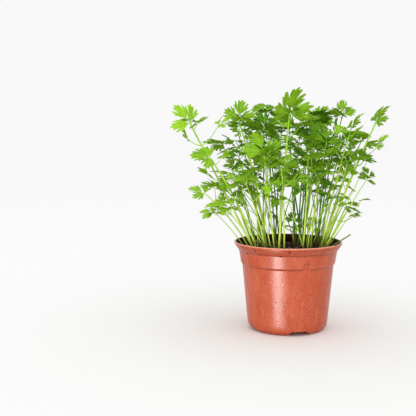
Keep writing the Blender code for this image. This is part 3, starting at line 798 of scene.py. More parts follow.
def mark_pot(mesh):
    """Marks painted shade along the creases at the step, the lip and the tabs, and the lip's paler top edge.

    A crease fades on both sides by exp(-((z - height) / width)^2).
    """
    points = np.zeros(3 * len(mesh.vertices), np.float32)
    mesh.vertices.foreach_get("co", points)
    x, y, z = ((points.reshape(-1, 3) - np.array(AXIS)) / MM).T
    share = tab_share(np.hypot(x, y), z, np.arctan2(y, x))
    rows = (
        (COLLAR_STEP_HEIGHT - 0.9, 0.9, 1 - share), (POT_HEIGHT - 3.7, 0.6, 0.8),
        (POT_HEIGHT - 8.9, 0.8, 1.0),
    )
    lines = sum(weight * np.exp(-(((z - height) / width) ** 2)) for height, width, weight in rows)
    add_attribute(mesh, "crease", np.clip(lines + 3.4 * share * (1 - share), 0, 1))
    # The top 1.4 mm of the lip is made paler.
    add_attribute(mesh, "wear", soft((z - POT_HEIGHT + 1.4) / 1.2))


def drilled(piece):
    """The piece's mesh with its drain holes cut by one Boolean on a collection of short bars."""
    holes = bpy.data.collections.new("drain_holes")
    bpy.context.scene.collection.children.link(holes)
    for angle in ARCH_ANGLE + QUARTERS:
        cutter = Shell()
        middle = on_circle(DRAIN_RING, angle)
        cutter.add_bar([(*middle, height) for height in DRAIN_CUT], (DRAIN_RADIUS,) * 2, DRAIN_SIDES)
        holes.objects.link(bpy.data.objects.new("drain_cutter", cutter.mesh("drain_cutter")))
    cut = piece.modifiers.new("drain", "BOOLEAN")
    cut.operand_type, cut.collection, cut.solver = "COLLECTION", holes, "EXACT"
    graph = bpy.context.evaluated_depsgraph_get()
    mesh = bpy.data.meshes.new_from_object(piece.evaluated_get(graph))
    piece.modifiers.clear()
    for cutter in list(holes.objects):
        bpy.data.objects.remove(cutter, do_unlink=True)
    bpy.data.collections.remove(holes)
    return mesh


def moulded_polypropylene(settings):
    """Thin polypropylene in terracotta colour, injection-moulded and used."""
    made, add, place = new_material("moulded_terracotta_polypropylene")
    height = add("SeparateXYZ", {0: place}, "Z")
    # The moulding leaves a satin skin, whose shade drifts in faint upright streaks. Fine dust and
    # scuffs of about 1 mm cloud it a little more darkly, and dried lime leaves pale flecks.
    drawn = add("Mapping", {"Vector": place, "Scale": (1.0, 1.0, 0.3)})
    noises, shares = [], []
    for where, grain, detail, low, high, most in (
        (drawn, 7, 4.0, 0.38, 0.68, 0.55), (place, 1.1, 4.0, 0.58, 0.76, 0.4),
        (place, 0.9, 2.0, 0.6, 0.74, 0.5),
    ):
        noises.append(add("TexNoise", {"Vector": where, "Scale": 1 / (grain * MM), "Detail": detail}))
        shares.append(add("MapRange", {0: noises[-1], 1: low, 2: high, 4: most}))
    dust = noises[1]
    # Painted shade darkens its creases, and the lip's top edge is made paler in patches.
    crease = add("Attribute", output="Fac", attribute_name="crease")
    crease = add("Math", {0: crease, 1: 0.4}, operation="MULTIPLY")
    wear = add("Attribute", output="Fac", attribute_name="wear")
    wear = add("Math", {0: dust, 1: wear}, operation="MULTIPLY")
    # Crumbs of soil 1 to 2 mm across stick to it, mostly near the lip and the foot.
    shaken = add("TexNoise", {"Vector": place, "Scale": 1 / (1.5 * MM)}, "Color")
    bent = add("VectorMath", {0: shaken, 1: (0.0012, 0.0012, 0.0008)}, operation="MULTIPLY")
    bent = add("VectorMath", {0: bent, 1: place}, operation="ADD")
    cells = add("TexVoronoi", {"Vector": bent, "Scale": 1 / (4.6 * MM)}, "Distance")
    pick = add("SeparateColor", {0: cells.node.outputs["Color"]})
    lip = add("MapRange", {0: height, 1: 0.084, 2: 0.096})
    foot = add("MapRange", {0: height, 1: 0.018, 2: 0.003})
    ends = add("Math", {0: lip, 1: foot}, operation="MAXIMUM")
    size = add("Math", {0: ends, 1: 0.22, 2: -0.02}, operation="MULTIPLY_ADD")
    size = add("Math", {0: size, 1: pick}, operation="ADD")
    size = add("MapRange", {0: size, 1: 0.77, 2: 1.05, 4: 0.3})
    over = add("Math", {0: size, 1: cells}, operation="SUBTRACT")
    specks = add("MapRange", {0: over, 2: 0.04, 4: 0.9})
    colour = settings.plastic
    # The crease colour mixed in below is painted shade.
    for share, paint in (
        (shares[0], settings.faded), (crease, settings.crease_shade_colour), (shares[1], linear("#8E3723")),
        (shares[2], linear("#E9B7A0")), (wear, linear("#F0C4B0")), (specks, linear("#26130D")),
    ):
        colour = add("Mix", {0: share, 6: colour, 7: paint}, 2, data_type="RGBA")
    # Its gloss is broken up by a shallow ripple, and by the dust on it.
    low, high = settings.roughness - 0.05, settings.roughness + 0.12
    rough = add("MapRange", {0: dust, 1: 0.35, 2: 0.7, 3: low, 4: high})
    rough = add("Math", {0: specks, 1: 0.5, 2: rough}, operation="MULTIPLY_ADD")
    ripple = add("TexNoise", {"Vector": place, "Scale": 1 / (3 * MM), "Detail": 6.0})
    ripple = add("Math", {0: specks, 1: 1.2, 2: ripple}, operation="MULTIPLY_ADD")
    normal = add("Bump", {"Height": ripple, "Distance": 0.2 * MM})
    shader = add("BsdfPrincipled", {
        "Base Color": colour, "Roughness": rough, "Normal": normal, "IOR": 1.49,
        "Specular IOR Level": 0.35,
    })
    add("OutputMaterial", {"Surface": shader})
    return made


def shaded_and_stained_polypropylene(settings):
    """The same polypropylene inside the pot, darkened by painted shade and stained by wet compost."""
    made, add, place = new_material("stained_terracotta_polypropylene")
    # Its dark colour is painted shade, so that the inside reads as deep; it is dull, with tide marks.
    marks = add("TexNoise", {"Vector": place, "Scale": 1 / (6 * MM), "Detail": 4.0})
    colour = add("Mix", {0: marks, 6: linear("#1A0605"), 7: settings.stain_and_shade}, 2, data_type="RGBA")
    shader = add("BsdfPrincipled", {"Base Color": colour, "Roughness": 0.8, "Specular IOR Level": 0.1})
    add("OutputMaterial", {"Surface": shader})
    return made


class POTTEDPARSLEY_OT_pot(bpy.types.Operator):
    """Make the moulded nursery pot"""

    bl_idname = "potted_parsley.pot"
    bl_label = "Pot"

    def execute(self, context):
        settings = context.scene.parsley_pot
        shell = Shell()
        shell.add(*pot_points(settings))
        finishes = [moulded_polypropylene(settings), shaded_and_stained_polypropylene(settings)]
        piece = add_piece("nursery_pot", shell.mesh("nursery_pot"), finishes, ["pot"], 40.0)
        piece.data = drilled(piece)
        mark_pot(piece.data)
        return {"FINISHED"}


# ---------------------------------------------------------------- the compost

SOIL_COLUMNS, SOIL_ROWS = 132, 34
SOIL_SEED = 7
SOIL_MOUND = 3.0  # how far the root ball lifts the compost in its middle
SOIL_REACH = 54.0
SOIL_LUMPS = ((11.0, 0.5), (4.5, 0.32), (2.0, 0.22))  # how wide a lump is, and its share of the relief
LATTICE = 64
CRUMB_COLUMNS, CRUMB_ROWS = 7, 4
CRUMB_DENTS = (0.67, 1.2)  # how far each point of a lump is pushed in or out
SLIVER_SHARE = 0.3
SLIVER_SIZES = ((1.6, 4.0), (0.3, 0.6), (0.25, 0.45))  # the limits of its length, width and height
STALK_STEPS, STALK_SIDES = 10, 7
STALK_RADII, STALK_END = (0.45, 0.75), 0.75
STALK_BOW = 0.08  # how far a dried stalk bends sideways at most, as a share of its length
DRIED_STALKS = (  # where each starts, its heading, its length and how far its end is raised
    ((14, -36), 12, 38, 4.0), ((30, -30), 168, 44, 1.0), ((-2, -44), -14, 34, 0.5),
    ((-30, -30), 40, 30, 1.5), ((24, -44), 140, 30, 2.5), ((-20, 14), 100, 34, 1.0),
    ((20, 36), 200, 40, 1.0), ((44, 10), 110, 30, 2.0), ((-44, 8), -70, 32, 1.5),
    ((6, -20), 60, 26, 6.0), ((36, -14), -110, 24, 1.0), ((-12, -46), 150, 22, 0.5),
)


class SoilSettings(bpy.types.PropertyGroup):
    """Sizes and colours of the compost."""

    relief: length_setting("Relief", "How far the compost's lumps rise and fall", 1.6, 0.0, 3)
    crumbs: IntProperty(
        name="Crumbs", description="How many loose crumbs and slivers lie on the compost",
        default=620, min=10, max=2000,
    )
    crumb_size: length_setting("Crumb size", "How large the larger crumbs are across", 3.2, 0.5, 8)
    damp: colour_setting("Compost", "Colour of the damp compost", "#1B110B")
    bark: colour_setting("Bark", "Colour of the bark and fibre in it", "#6B3422")


def lattice_noise(x, y, size, rng):
    """Random heights at the points of a square lattice, joined smoothly between them."""
    heights = rng.uniform(-1, 1, (LATTICE, LATTICE))
    column, row = x / size + LATTICE / 2, y / size + LATTICE / 2
    c, r = np.floor(column).astype(int) % LATTICE, np.floor(row).astype(int) % LATTICE
    after, above = (c + 1) % LATTICE, (r + 1) % LATTICE
    u, v = soft(column % 1), soft(row % 1)
    low = (1 - u) * heights[r, c] + u * heights[r, after]
    high = (1 - u) * heights[above, c] + u * heights[above, after]
    return (1 - v) * low + v * high


def soil_height(x, y, relief):
    """The compost's top: a low mound, and three sizes of lump, each smaller one lower."""
    rng = np.random.default_rng(SOIL_SEED)
    rise = sum(share * lattice_noise(x, y, size, rng) for size, share in SOIL_LUMPS)
    return SOIL_LEVEL + SOIL_MOUND * (1 - (np.hypot(x, y) / SOIL_REACH) ** 2) + relief * rise


def lumps(centres, sizes, turns, rng):
    """Closed lumps, each a few rings of points on a sphere between two poles.

    Every point is pushed in or out by up to a third, and the lump is stretched to its three
    sizes, turned about Z and moved to its centre.
    """
    n = len(centres)
    down = np.pi * np.arange(1, CRUMB_ROWS)[:, None] / CRUMB_ROWS
    about = 2 * np.pi * np.arange(CRUMB_COLUMNS) / CRUMB_COLUMNS
    ring = [np.sin(down) * np.cos(about), np.sin(down) * np.sin(about), np.cos(down) + 0 * about]
    form = np.vstack([(0, 0, 1), np.stack(ring, -1).reshape(-1, 3), (0, 0, -1)])
    count = len(form)
    pushed = form * rng.uniform(*CRUMB_DENTS, (n, count, 1)) * sizes[:, None]
    cos, sin = np.cos(turns)[:, None], np.sin(turns)[:, None]
    x = cos * pushed[..., 0] - sin * pushed[..., 1]
    y = sin * pushed[..., 0] + cos * pushed[..., 1]
    points = np.stack([x, y, pushed[..., 2]], -1) + centres[:, None]
    first, last = 1 + np.arange(CRUMB_COLUMNS), count - 1 - CRUMB_COLUMNS + np.arange(CRUMB_COLUMNS)
    triangles = np.vstack([fan(0, first, True), fan(count - 1, last, False)])
    quads = 1 + grid_quads(CRUMB_ROWS - 1, CRUMB_COLUMNS)[:, ::-1]
    start = count * np.arange(n)[:, None, None]
    return points.reshape(-1, 3), (triangles + start).reshape(-1, 3), (quads + start).reshape(-1, 4)


def soil_scatter(settings, rng):
    """Crumbs and slivers strewn evenly over the compost, most of them small."""
    n = settings.crumbs
    reach, angle = (SOIL_REACH - 1) * np.sqrt(rng.random(n)), rng.uniform(0, 2 * np.pi, n)
    size = settings.crumb_size / MM / 2 * rng.uniform(0.3, 1, n) ** 1.6
    is_sliver = rng.random(n) < SLIVER_SHARE
    sliver = np.stack([rng.uniform(*limits, n) for limits in SLIVER_SIZES], -1)
    sizes = np.where(is_sliver[:, None], sliver, size[:, None] * rng.uniform(0.6, 1.1, (n, 3)))
    reach = np.minimum(reach, SOIL_REACH - sizes.max(axis=1))
    x, y = reach * np.cos(angle), reach * np.sin(angle)
    z = soil_height(x, y, settings.relief / MM) + 0.3 * sizes[:, 2]
    tint = np.where(is_sliver, rng.uniform(0.4, 1, n), 0.6 * rng.random(n) ** 2)
    return lumps(np.stack([x, y, z], -1), sizes, rng.uniform(0, np.pi, n), rng), tint


def dried_stalk(row, relief, rng):
    """A thin bar lying on the compost, bent sideways by a sine and lifted towards its end."""
    start, heading, length, rise = row
    share = np.linspace(0, 1, STALK_STEPS)
    ahead, aside = on_circle(1, heading), on_circle(1, heading + 90)
    bow = rng.uniform(-STALK_BOW, STALK_BOW) * length * np.sin(np.pi * share)
    flat = np.array(start) + np.outer(share * length, ahead) + np.outer(bow, aside)
    flat *= np.minimum(1, (SOIL_REACH - 2) / np.maximum(np.hypot(*flat.T), 1))[:, None]
    radius = rng.uniform(*STALK_RADII) * np.linspace(1, STALK_END, STALK_STEPS)
    return np.column_stack([flat, soil_height(*flat.T, relief) + 0.6 * radius + rise * share**2]), radius


def damp_compost(settings):
    """Peat-free potting compost, sieved and damp."""
    made, add, place = new_material("damp_potting_compost")
    # Crumbs of 1 to 3 mm, near black where they are wet and brown where they have dried.
    crumbs = add("TexNoise", {"Vector": place, "Scale": 1 / (2.2 * MM), "Detail": 5.0})
    dry = add("MapRange", {0: crumbs, 1: 0.4, 2: 0.68})
    # Bark and fibre show as brown flecks of about 1 mm, and as the crumbs that are all bark.
    fibre = add("TexNoise", {"Vector": place, "Scale": 1 / MM, "Detail": 3.0})
    fibre = add("MapRange", {0: fibre, 1: 0.6, 2: 0.72, 4: 0.6})
    tint = add("Attribute", output="Fac", attribute_name="tint")
    tint = add("MapRange", {0: tint, 1: 0.35, 4: 0.95})
    colour = linear("#090604")
    for share, paint in ((dry, settings.damp), (fibre, settings.bark), (tint, settings.bark)):
        colour = add("Mix", {0: share, 6: colour, 7: paint}, 2, data_type="RGBA")
    normal = add("Bump", {"Height": crumbs, "Distance": 0.9 * MM})
    shader = add("BsdfPrincipled", {
        "Base Color": colour, "Roughness": 0.93, "Normal": normal, "Specular IOR Level": 0.25,
    })
    add("OutputMaterial", {"Surface": shader})
    return made


def dead_stalk(settings):
    """Dead parsley stalks, dried out on the compost."""
    made, add, place = new_material("dried_parsley_stalk")
    # They are straw-coloured and fibrous, with brown patches where they rot.
    streaks = add("TexNoise", {"Vector": place, "Scale": 1 / (1.6 * MM), "Detail": 4.0})
    share = add("MapRange", {0: streaks, 1: 0.35, 2: 0.65})
    straw = add("Mix", {0: share, 6: linear("#6A4A2E"), 7: linear("#B69A68")}, 2, data_type="RGBA")
    tint = add("Attribute", output="Fac", attribute_name="tint")
    colour = add("Mix", {0: tint, 6: straw, 7: settings.bark}, 2, data_type="RGBA")
    normal = add("Bump", {"Height": streaks, "Distance": 0.3 * MM})
    shader = add("BsdfPrincipled", {"Base Color": colour, "Roughness": 0.75, "Normal": normal})
    add("OutputMaterial", {"Surface": shader})
    return made


class POTTEDPARSLEY_OT_soil(bpy.types.Operator):
    """Make the compost, with the loose crumbs and dead stalks that lie on it"""

    bl_idname = "potted_parsley.soil"
    bl_label = "Compost"

    def execute(self, context):
        settings = context.scene.parsley_soil
        relief = settings.relief / MM
        rng = np.random.default_rng(SOIL_SEED)
        profile = soil_profile()
        rings = profile[-1][0] * np.linspace(1, 0.02, SOIL_ROWS)[1:]
        rows = [*profile, *((ring, SOIL_LEVEL) for ring in rings), (0.0, SOIL_LEVEL)]
        points, triangles, quads = lathed(rows, 2 * np.pi * np.arange(SOIL_COLUMNS) / SOIL_COLUMNS)
        top = points[:, 2] > SOIL_LEVEL - 0.01
        points[top, 2] = soil_height(points[top, 0], points[top, 1], relief)
        compost = damp_compost(settings)
        bed = Shell()
        bed.add(points, [(triangles, 0), (quads, 0)], tint=0.0)
        add_piece("compost", bed.mesh("compost"), [compost], ["soil"])
        litter = Shell()
        (points, triangles, quads), tint = soil_scatter(settings, rng)
        litter.add(points, [(triangles, 0), (quads, 0)], np.repeat(tint, len(points) // len(tint)))
        for row in DRIED_STALKS:
            litter.add_bar(*dried_stalk(row, relief, rng), STALK_SIDES, finish=1, tint=0.7 * rng.random())
        finishes = [compost, dead_stalk(settings)]
        add_piece("compost_litter", litter.mesh("compost_litter"), finishes)
        return {"FINISHED"}


# ---------------------------------------------------------------- the parsley

FOLIAGE_SEED = 21
# A leaflet's edge has seven blunt teeth: three on its middle lobe and two on each side lobe. Its
# notches and tips are at shares of half its spread (turn) and of its length (reach).
TEETH = 7
NOTCH_TURNS = (-1.0, -0.74, -0.40, -0.13, 0.13, 0.40, 0.74, 1.0)
NOTCH_REACHES = (0.06, 0.58, 0.42, 0.80, 0.80, 0.42, 0.58, 0.06)
TIP_REACHES = (0.68, 0.88, 0.92, 1.01, 0.92, 0.88, 0.68)
TOOTH_ROUND = 1.7
LEAFLET_SPREAD = 51.0  # degrees from its midrib to its edge
SPREAD_SHARES = (0.72, 1.05)
LARGE_LEAF, LARGE_SPREAD_SHARE = 33.0, 1.15
PETIOLULES = (0.06, 0.18, 0.06)  # the bare foot of each leaflet, as a share of the leaf's length
# How finely a leaflet is made: places on each tooth, and rows from its foot to its edge.
FINE, PLAIN, SMALL = ((0, 0.12, 0.35, 0.65, 0.88), 3), ((0, 0.5), 2), ((0, 0.35, 0.65), 1)
# How leaflets differ: how deep their teeth are, how far they turn, spread and lean, and their size,
# fold, twist and curl. A leaflet's ripple has seven waves to a full turn.
TOOTH_DEPTHS, LEAFLET_TURN, SPREAD_VARIES, LEAFLET_SKEW = (0.8, 1.15), 5.0, (0.94, 1.06), 0.06
OUTER_SKEW = 0.08  # the outer leaflets lean this far towards the middle one
LEAFLET_SIZES, FOLDS, TWIST, CURLS = (0.93, 1.02), (0.08, 0.3), 0.14, (0.05, 0.35)
RIPPLE, RIPPLES = 0.035, 7
LEAFLET_TINT = 0.06
VEINS = (  # angle from the midrib, half width in millimetres, strength
    (0.0, 0.48, 1.0), (27.0, 0.40, 0.85), (12.0, 0.26, 0.45), (39.0, 0.26, 0.45),
)
RIB_RADIUS, RIB_STEPS, RIB_SIDES = 0.36, 5, 5
RIB_LEAF = 24.0  # how long the leaves are whose ribs have that radius; shorter leaves have thinner ribs
# How light each placed stem's leaves are, from 0 for the deepest green to 1, and the others' limits.
# The deeper greens, given to the crown's filling stems and to some inner and low ones, are partly painted
# shade.
TINTS = (
    0.9, 0.7, 0.6, 0.85, 0.6, 0.55, 0.8, 0.25, 0.35, 0.25, 0.7, 0.7, 0.75, 0.8, 0.65, 0.4, 0.5, 0.15, 0.15,
)
OTHER_TINTS = (0.0, 0.6)
TINT_VARIES, STEM_TINT_VARIES = 0.2, 0.3
BARE_TINT = 0.2  # the lightest that a bare stem is
# The first stems stand out in front of the others, and are thicker.
TALL_STEMS, TALL_RADII, OTHER_RADII, BARE_RADII = 5, (1.2, 0.82), (0.9, 0.52), (0.98, 0.7)
STEM_SHAPE, BARE_SHAPE = (22, 10), (16, 10)  # steps along and sides round a stem
STEM_RIB = 0.07
STEM_BURIED = 3.0
FLARE, FLARE_HEIGHT = 0.6, 5.0  # how much wider a stem's foot is, and how soon that is gone
# Painted shade: the further back a stem stands, the deeper green it is made.
STEM_PAINTED_SHADE_DEPTH = 60.0  # how far back a stem has turned from pale to green
STALK_SHAPE = (7, 6)
STALK_TAPER = 0.7
SIDE_STALK, MORE_STALK = 0.55, 0.45
# More leaves for each stem: where on the stem, how long, on how long a stalk, and turned how far.
MORE_LEAVES = (
    ((0.90, 0.97), (13.0, 18.0), (5.0, 10.0), 90.0),
    ((0.54, 0.68), (14.0, 19.0), (10.0, 17.0), 40.0),
    ((0.72, 0.88), (12.0, 17.0), (8.0, 14.0), 90.0),
)
MORE_PITCHES = (15.0, 70.0)
MORE_TURN = 30.0
MORE_TRIES = 14
MARGIN = 2.5  # how far, in millimetres, more leaves stay inside the object's box
# How many thin shoots stand beside each leafy stem: on the left, in the middle and on the right.
SHOOTS = (2, 3, 7)
SHOOT_EDGES = (-14.0, 20.0)  # where the middle begins and ends
LOW_STEM = 150.0  # a stem that ends lower has no shoots
LOW_SHOOT = 128.0  # and no shoot ends lower than this
SHOOT_RADII = (0.62, 0.36)
SHOOT_GUARD = 0.2
SHOOT_SPACING = (2.2, 5.0)
SHOOT_SHARES = (0.42, 0.95)
SHOOT_SPREAD = (17.0, 13.0, 5.0)
SHOOT_LEAN = 3.0
SHOOT_LEAF = (11.0, 18.0)


class ParsleySettings(bpy.types.PropertyGroup):
    """Sizes and colours of the leaves and stems."""

    thickness: length_setting("Blade thickness", "Thickness of a leaf's blade in its middle", 0.35, 0.1, 1)
    more: IntProperty(
        name="More leaf pairs", description="How many more pairs of small leaves each stem has",
        default=2, min=0, max=3,
    )
    deep: colour_setting("Deep green", "Colour of the darkest leaves", "#206C00")
    bright: colour_setting("Bright green", "Colour of the lightest leaves", "#98C630")
    under: colour_setting("Underside", "Colour of the leaves' undersides", "#9ED036")
    vein: colour_setting("Veins", "Colour of the ribs and veins", "#B4DE50")
    stalk: colour_setting("Stalk", "Colour of the stems above the soil", "#D4EC60")
    foot: colour_setting("Stem foot", "Colour of the stems where they leave the soil", "#6A3A3C")


def leaflet_outline(place, depth):
    """A leaflet's edge as (turn, reach) shares at places that count its teeth from 0 to 7.

    Between two notches the edge rises from the line through the notches towards the line
    through the tips by 1 - |2s - 1|^1.7, where s is the share of the way between the notches.
    """
    s = place - np.minimum(np.floor(place), TEETH - 1)
    notches = np.arange(TEETH + 1)
    turn = np.interp(place, notches, NOTCH_TURNS)
    low = np.interp(place, notches, NOTCH_REACHES)
    high = np.interp(place, notches[:-1] + 0.5, TIP_REACHES)
    return turn, high - (high - low) * np.abs(2 * s - 1) ** TOOTH_ROUND * depth


def leaflet_grid(shares, rings):
    """Places across, shares outwards, which points the underside has of its own, and the faces.

    Point 0 is the upper skin's foot, then come its rings, the underside's foot and the points
    that the underside doesn't share. The skins share the sides and the edge, so all is closed.
    """
    places = np.append((np.arange(TEETH)[:, None] + np.array(shares)).ravel(), TEETH)
    out = (np.arange(1, rings + 1) / rings) ** 0.8
    columns = len(places)
    top = 1 + np.arange(columns * rings).reshape(columns, rings)
    own = np.zeros((columns, rings), bool)
    own[1:-1, :-1] = True
    under = 1 + columns * rings
    bottom = top.copy()
    bottom[own] = under + 1 + np.arange(own.sum())
    faces = []
    for foot, skin, turn, finish in ((0, top, 1, 0), (under, bottom, -1, 2)):
        quads = np.stack([skin[:-1, :-1], skin[:-1, 1:], skin[1:, 1:], skin[1:, :-1]], -1)
        feet = np.stack([0 * skin[:-1, 0] + foot, skin[:-1, 0], skin[1:, 0]], -1)
        faces += [(quads.reshape(-1, 4)[:, ::turn], finish), (feet[:, ::turn], finish)]
    faces.append((np.array([(0, under, top[0, 0]), (under, 0, top[-1, 0])]), 2))
    return places, out, own, [rows for rows in faces if len(rows[0])]


GRIDS = {detail: leaflet_grid(*detail) for detail in (FINE, PLAIN, SMALL)}


def blade_point(leaf, x, y, raised):
    """A point on a leaf from its flat place (x, y), as shares of its length, and its extra rise."""
    reach, angle = np.hypot(x, y), np.arctan2(y, x)
    rise = leaf_height(reach, angle, leaf["droop"], leaf["wave"]) + raised
    flat = x[..., None] * leaf["ahead"] + y[..., None] * leaf["across"]
    return leaf["base"] + leaf["length"] * (flat + rise[..., None] * leaf["up"])


def varied(tint, spread, rng):
    """A tint changed at random, and kept between 0 and 1."""
    return np.clip(tint + rng.normal(0, spread), 0, 1)


def add_leaflet(shell, leaf, k, detail, spread, settings, tint, rng):
    """One leaflet: a fan (u, v) -> foot + v reach(u) (cos, sin)(spread turn(u)).

    It lies on the leaf's arched plane, folded up along its midrib, rippled towards its edge,
    curled down and a little twisted.
    """
    places, out, own, faces = GRIDS[detail]
    heading = math.radians(LEAFLET_HEADINGS[k] + rng.normal(0, LEAFLET_TURN))
    turn, reach = leaflet_outline(places, rng.uniform(*TOOTH_DEPTHS))
    spread = math.radians(spread * rng.uniform(*SPREAD_VARIES))
    skew = rng.normal(0, LEAFLET_SKEW) + OUTER_SKEW * (1 - k)
    angle = (spread * (turn + skew * (1 - turn**2)))[:, None]
    foot = PETIOLULES[k]
    size = LEAFLET_LENGTHS[k] * rng.uniform(*LEAFLET_SIZES) - foot
    outward = reach[:, None] * out
    along, aside = size * outward * np.cos(angle), size * outward * np.sin(angle)
    fold, twist, phase = rng.uniform(*FOLDS), rng.normal(0, TWIST), rng.uniform(0, 2 * np.pi)
    ripple = RIPPLE * out**2 * np.sin(RIPPLES * angle + phase)
    curl = rng.uniform(*CURLS) * (aside**2 + 0.5 * along**2) / size
    raised = fold * np.abs(aside) + twist * aside + ripple * size - curl
    cos, sin = math.cos(heading), math.sin(heading)
    top = blade_point(leaf, (foot + along) * cos - aside * sin, (foot + along) * sin + aside * cos, raised)
    # The blade is thickest in its middle, and its two skins meet at its edge.
    thickness = settings.thickness / MM
    thick = thickness * (1 - out**3) * (1 - np.abs(2 * places[:, None] / TEETH - 1) ** 6)
    low = (top - thick[..., None] * leaf["up"])[own]
    pole = blade_point(leaf, np.array([foot * cos]), np.array([foot * sin]), 0.0)
    points = np.vstack([pole, top.reshape(-1, 3), pole - thickness * leaf["up"], low])
    # The plan of the veins, in millimetres, follows the teeth of a leaflet that isn't skewed.
    square = np.radians(LEAFLET_SPREAD) * turn[:, None]
    plan = np.stack([np.cos(square), np.sin(square)], -1) * (outward * size * leaf["length"])[..., None]
    plan = np.vstack([(0, 0), plan.reshape(-1, 2), (0, 0), plan[own]])
    shell.add(points, faces, varied(tint, LEAFLET_TINT, rng), plan)


def add_leaf(shell, leaf, detail, settings, tint, rng):
    """A leaf's three leaflets, and a rib from its joint to and under each of them."""
    is_large = leaf["length"] >= LARGE_LEAF
    spread = LEAFLET_SPREAD * (LARGE_SPREAD_SHARE if is_large else rng.uniform(*SPREAD_SHARES))
    thinning = RIB_RADIUS * min(1.0, leaf["length"] / RIB_LEAF) * np.linspace(1, 0.4, RIB_STEPS)
    for k, heading in enumerate(np.radians(LEAFLET_HEADINGS)):
        add_leaflet(shell, leaf, k, detail, spread, settings, tint, rng)
        run = np.linspace(0, PETIOLULES[k] + 0.25, RIB_STEPS)
        rib = blade_point(leaf, run * np.cos(heading), run * np.sin(heading), 0.0)
        shell.add_bar(rib - 0.2 * leaf["up"], thinning, RIB_SIDES, finish=1, tint=tint)


def smooth_stem(stem, radii, shape):
    """The stem's curve, from a little under the soil to its tip, with its radii and its sides.

    The radii fall evenly and widen again by exp(-h / height) towards its foot. Every other
    side stands out, as a rib.
    """
    steps, sides = shape
    curve = stem_curve(stem["root"], stem["tip"], stem["lean"], np.linspace(0, 1, steps))
    path = np.vstack([curve[0] - STEM_BURIED * unit(curve[1] - curve[0]), curve])
    above = np.linalg.norm(path - curve[0], axis=1)
    radius = np.linspace(*radii, steps + 1) * (1 + FLARE * np.exp(-above / FLARE_HEIGHT))
    return path, radius[:, None] * (1 + STEM_RIB * np.cos(np.pi * np.arange(sides))), sides


def smooth_stalk(stalk, steps):
    """A curve through a stalk's three points: the parabola whose middle is the second."""
    start, middle, end = (np.array(point) for point in stalk)
    t = np.linspace(0, 1, steps)[:, None]
    return (1 - t) ** 2 * start + t * (1 - t) * (4 * middle - start - end) + t**2 * end


def plan_box():
    """The object's box about the pot's axis, in millimetres, less the margin that leaves keep."""
    low, high = (np.array((corner - AXIS) / MM) for corner in CAD_BOX)
    return low + MARGIN, high - MARGIN


def is_inside(points):
    """Whether all the points lie inside the object's box, with a margin."""
    low, high = plan_box()
    return (points > low).all() and (points < high).all()


def grown_shoot(stem, name, crowd, rng):
    """A thin stem with an end leaf beside a stem of the plan. None where it finds no clear way."""
    for _ in range(MORE_TRIES):
        side = on_circle(rng.uniform(*SHOOT_SPACING), rng.uniform(0, 360))
        root = np.array(stem["root"]) + (*side, 0.0)
        tip = stem_curve(stem["root"], stem["tip"], stem["lean"], rng.uniform(*SHOOT_SHARES))
        tip = tip + (*side, 0.0) + rng.normal(0, SHOOT_SPREAD)
        lean = stem["lean"] + rng.normal(0, SHOOT_LEAN, 2)
        path = stem_path(root, tip, lean)
        radii = np.linspace(*SHOOT_RADII, len(path)) + SHOOT_GUARD
        heading = stem["heading"] + rng.uniform(0, 360)
        length, pitch, roll = draws(rng, SHOOT_LEAF, END_LEAF_PITCHES, LEAF_ROLLS)
        leaf = leaf_at(tip, (length, heading, pitch, roll), SLIM_LEAFLET, rng)
        guard = blade(leaf, GUARD)
        if tip[2] <= LOW_SHOOT or not is_inside(guard[0]) or not crowd.is_clear(guard):
            continue
        if crowd.is_clear(tube(path, radii, STEM_SIDES), ("soil",)):
            crowd.add(name, tube(path[:-1], radii[:-1], STEM_SIDES))
            crowd.add(name + "_end", tube(path[-2:], radii[-2:], STEM_SIDES))
            crowd.add(name + "_leaf", guard)
            shoot = {"name": name, "root": root, "tip": tip, "lean": lean}
            return {**shoot, "heading": heading, "end_leaf": leaf}
    return None


def more_leaves(stem, crowd, pairs, rng):
    """Small leaves in pairs on a stem, wherever they hang clear and inside the object's box."""
    found = []
    for shares, lengths, reaches, aside in MORE_LEAVES[:pairs]:
        heading = stem["heading"] + aside + rng.uniform(-MORE_TURN, MORE_TURN)
        start = stem_curve(stem["root"], stem["tip"], stem["lean"], rng.uniform(*shares))
        for turn in (0.0, 180.0):
            length, pitch, roll = draws(rng, lengths, MORE_PITCHES, LEAF_ROLLS)
            aim = (length, heading + turn, pitch, roll)
            leaf = grown_side_leaf(stem, start, aim, reaches, MORE_TRIES, crowd, rng)
            if leaf and is_inside(blade(leaf, 0.0)[0]):
                found.append(leaf)
    return found


def add_leafy_stem(shell, stem, radii, details, settings, tint, rng):
    """A stem with its end leaf, the side leaves of its plan and its further small ones."""
    # The stems at the back stand in the others' shade, which is painted into them as a deeper green.
    pale = varied(tint - stem["root"][1] / STEM_PAINTED_SHADE_DEPTH, STEM_TINT_VARIES, rng)
    shell.add_bar(*smooth_stem(stem, radii, STEM_SHAPE), finish=1, tint=pale)
    add_leaf(shell, stem["end_leaf"], details[0], settings, tint, rng)
    steps, sides = STALK_SHAPE
    for group, detail, width in (("side_leaves", details[1], SIDE_STALK), ("more", SMALL, MORE_STALK)):
        for leaf in stem.get(group, ()):
            shade = varied(tint, TINT_VARIES, rng)
            add_leaf(shell, leaf, detail, settings, shade, rng)
            widths = width * np.linspace(1, STALK_TAPER, steps)
            shell.add_bar(smooth_stalk(leaf["stalk"], steps), widths, sides, finish=1, tint=shade)


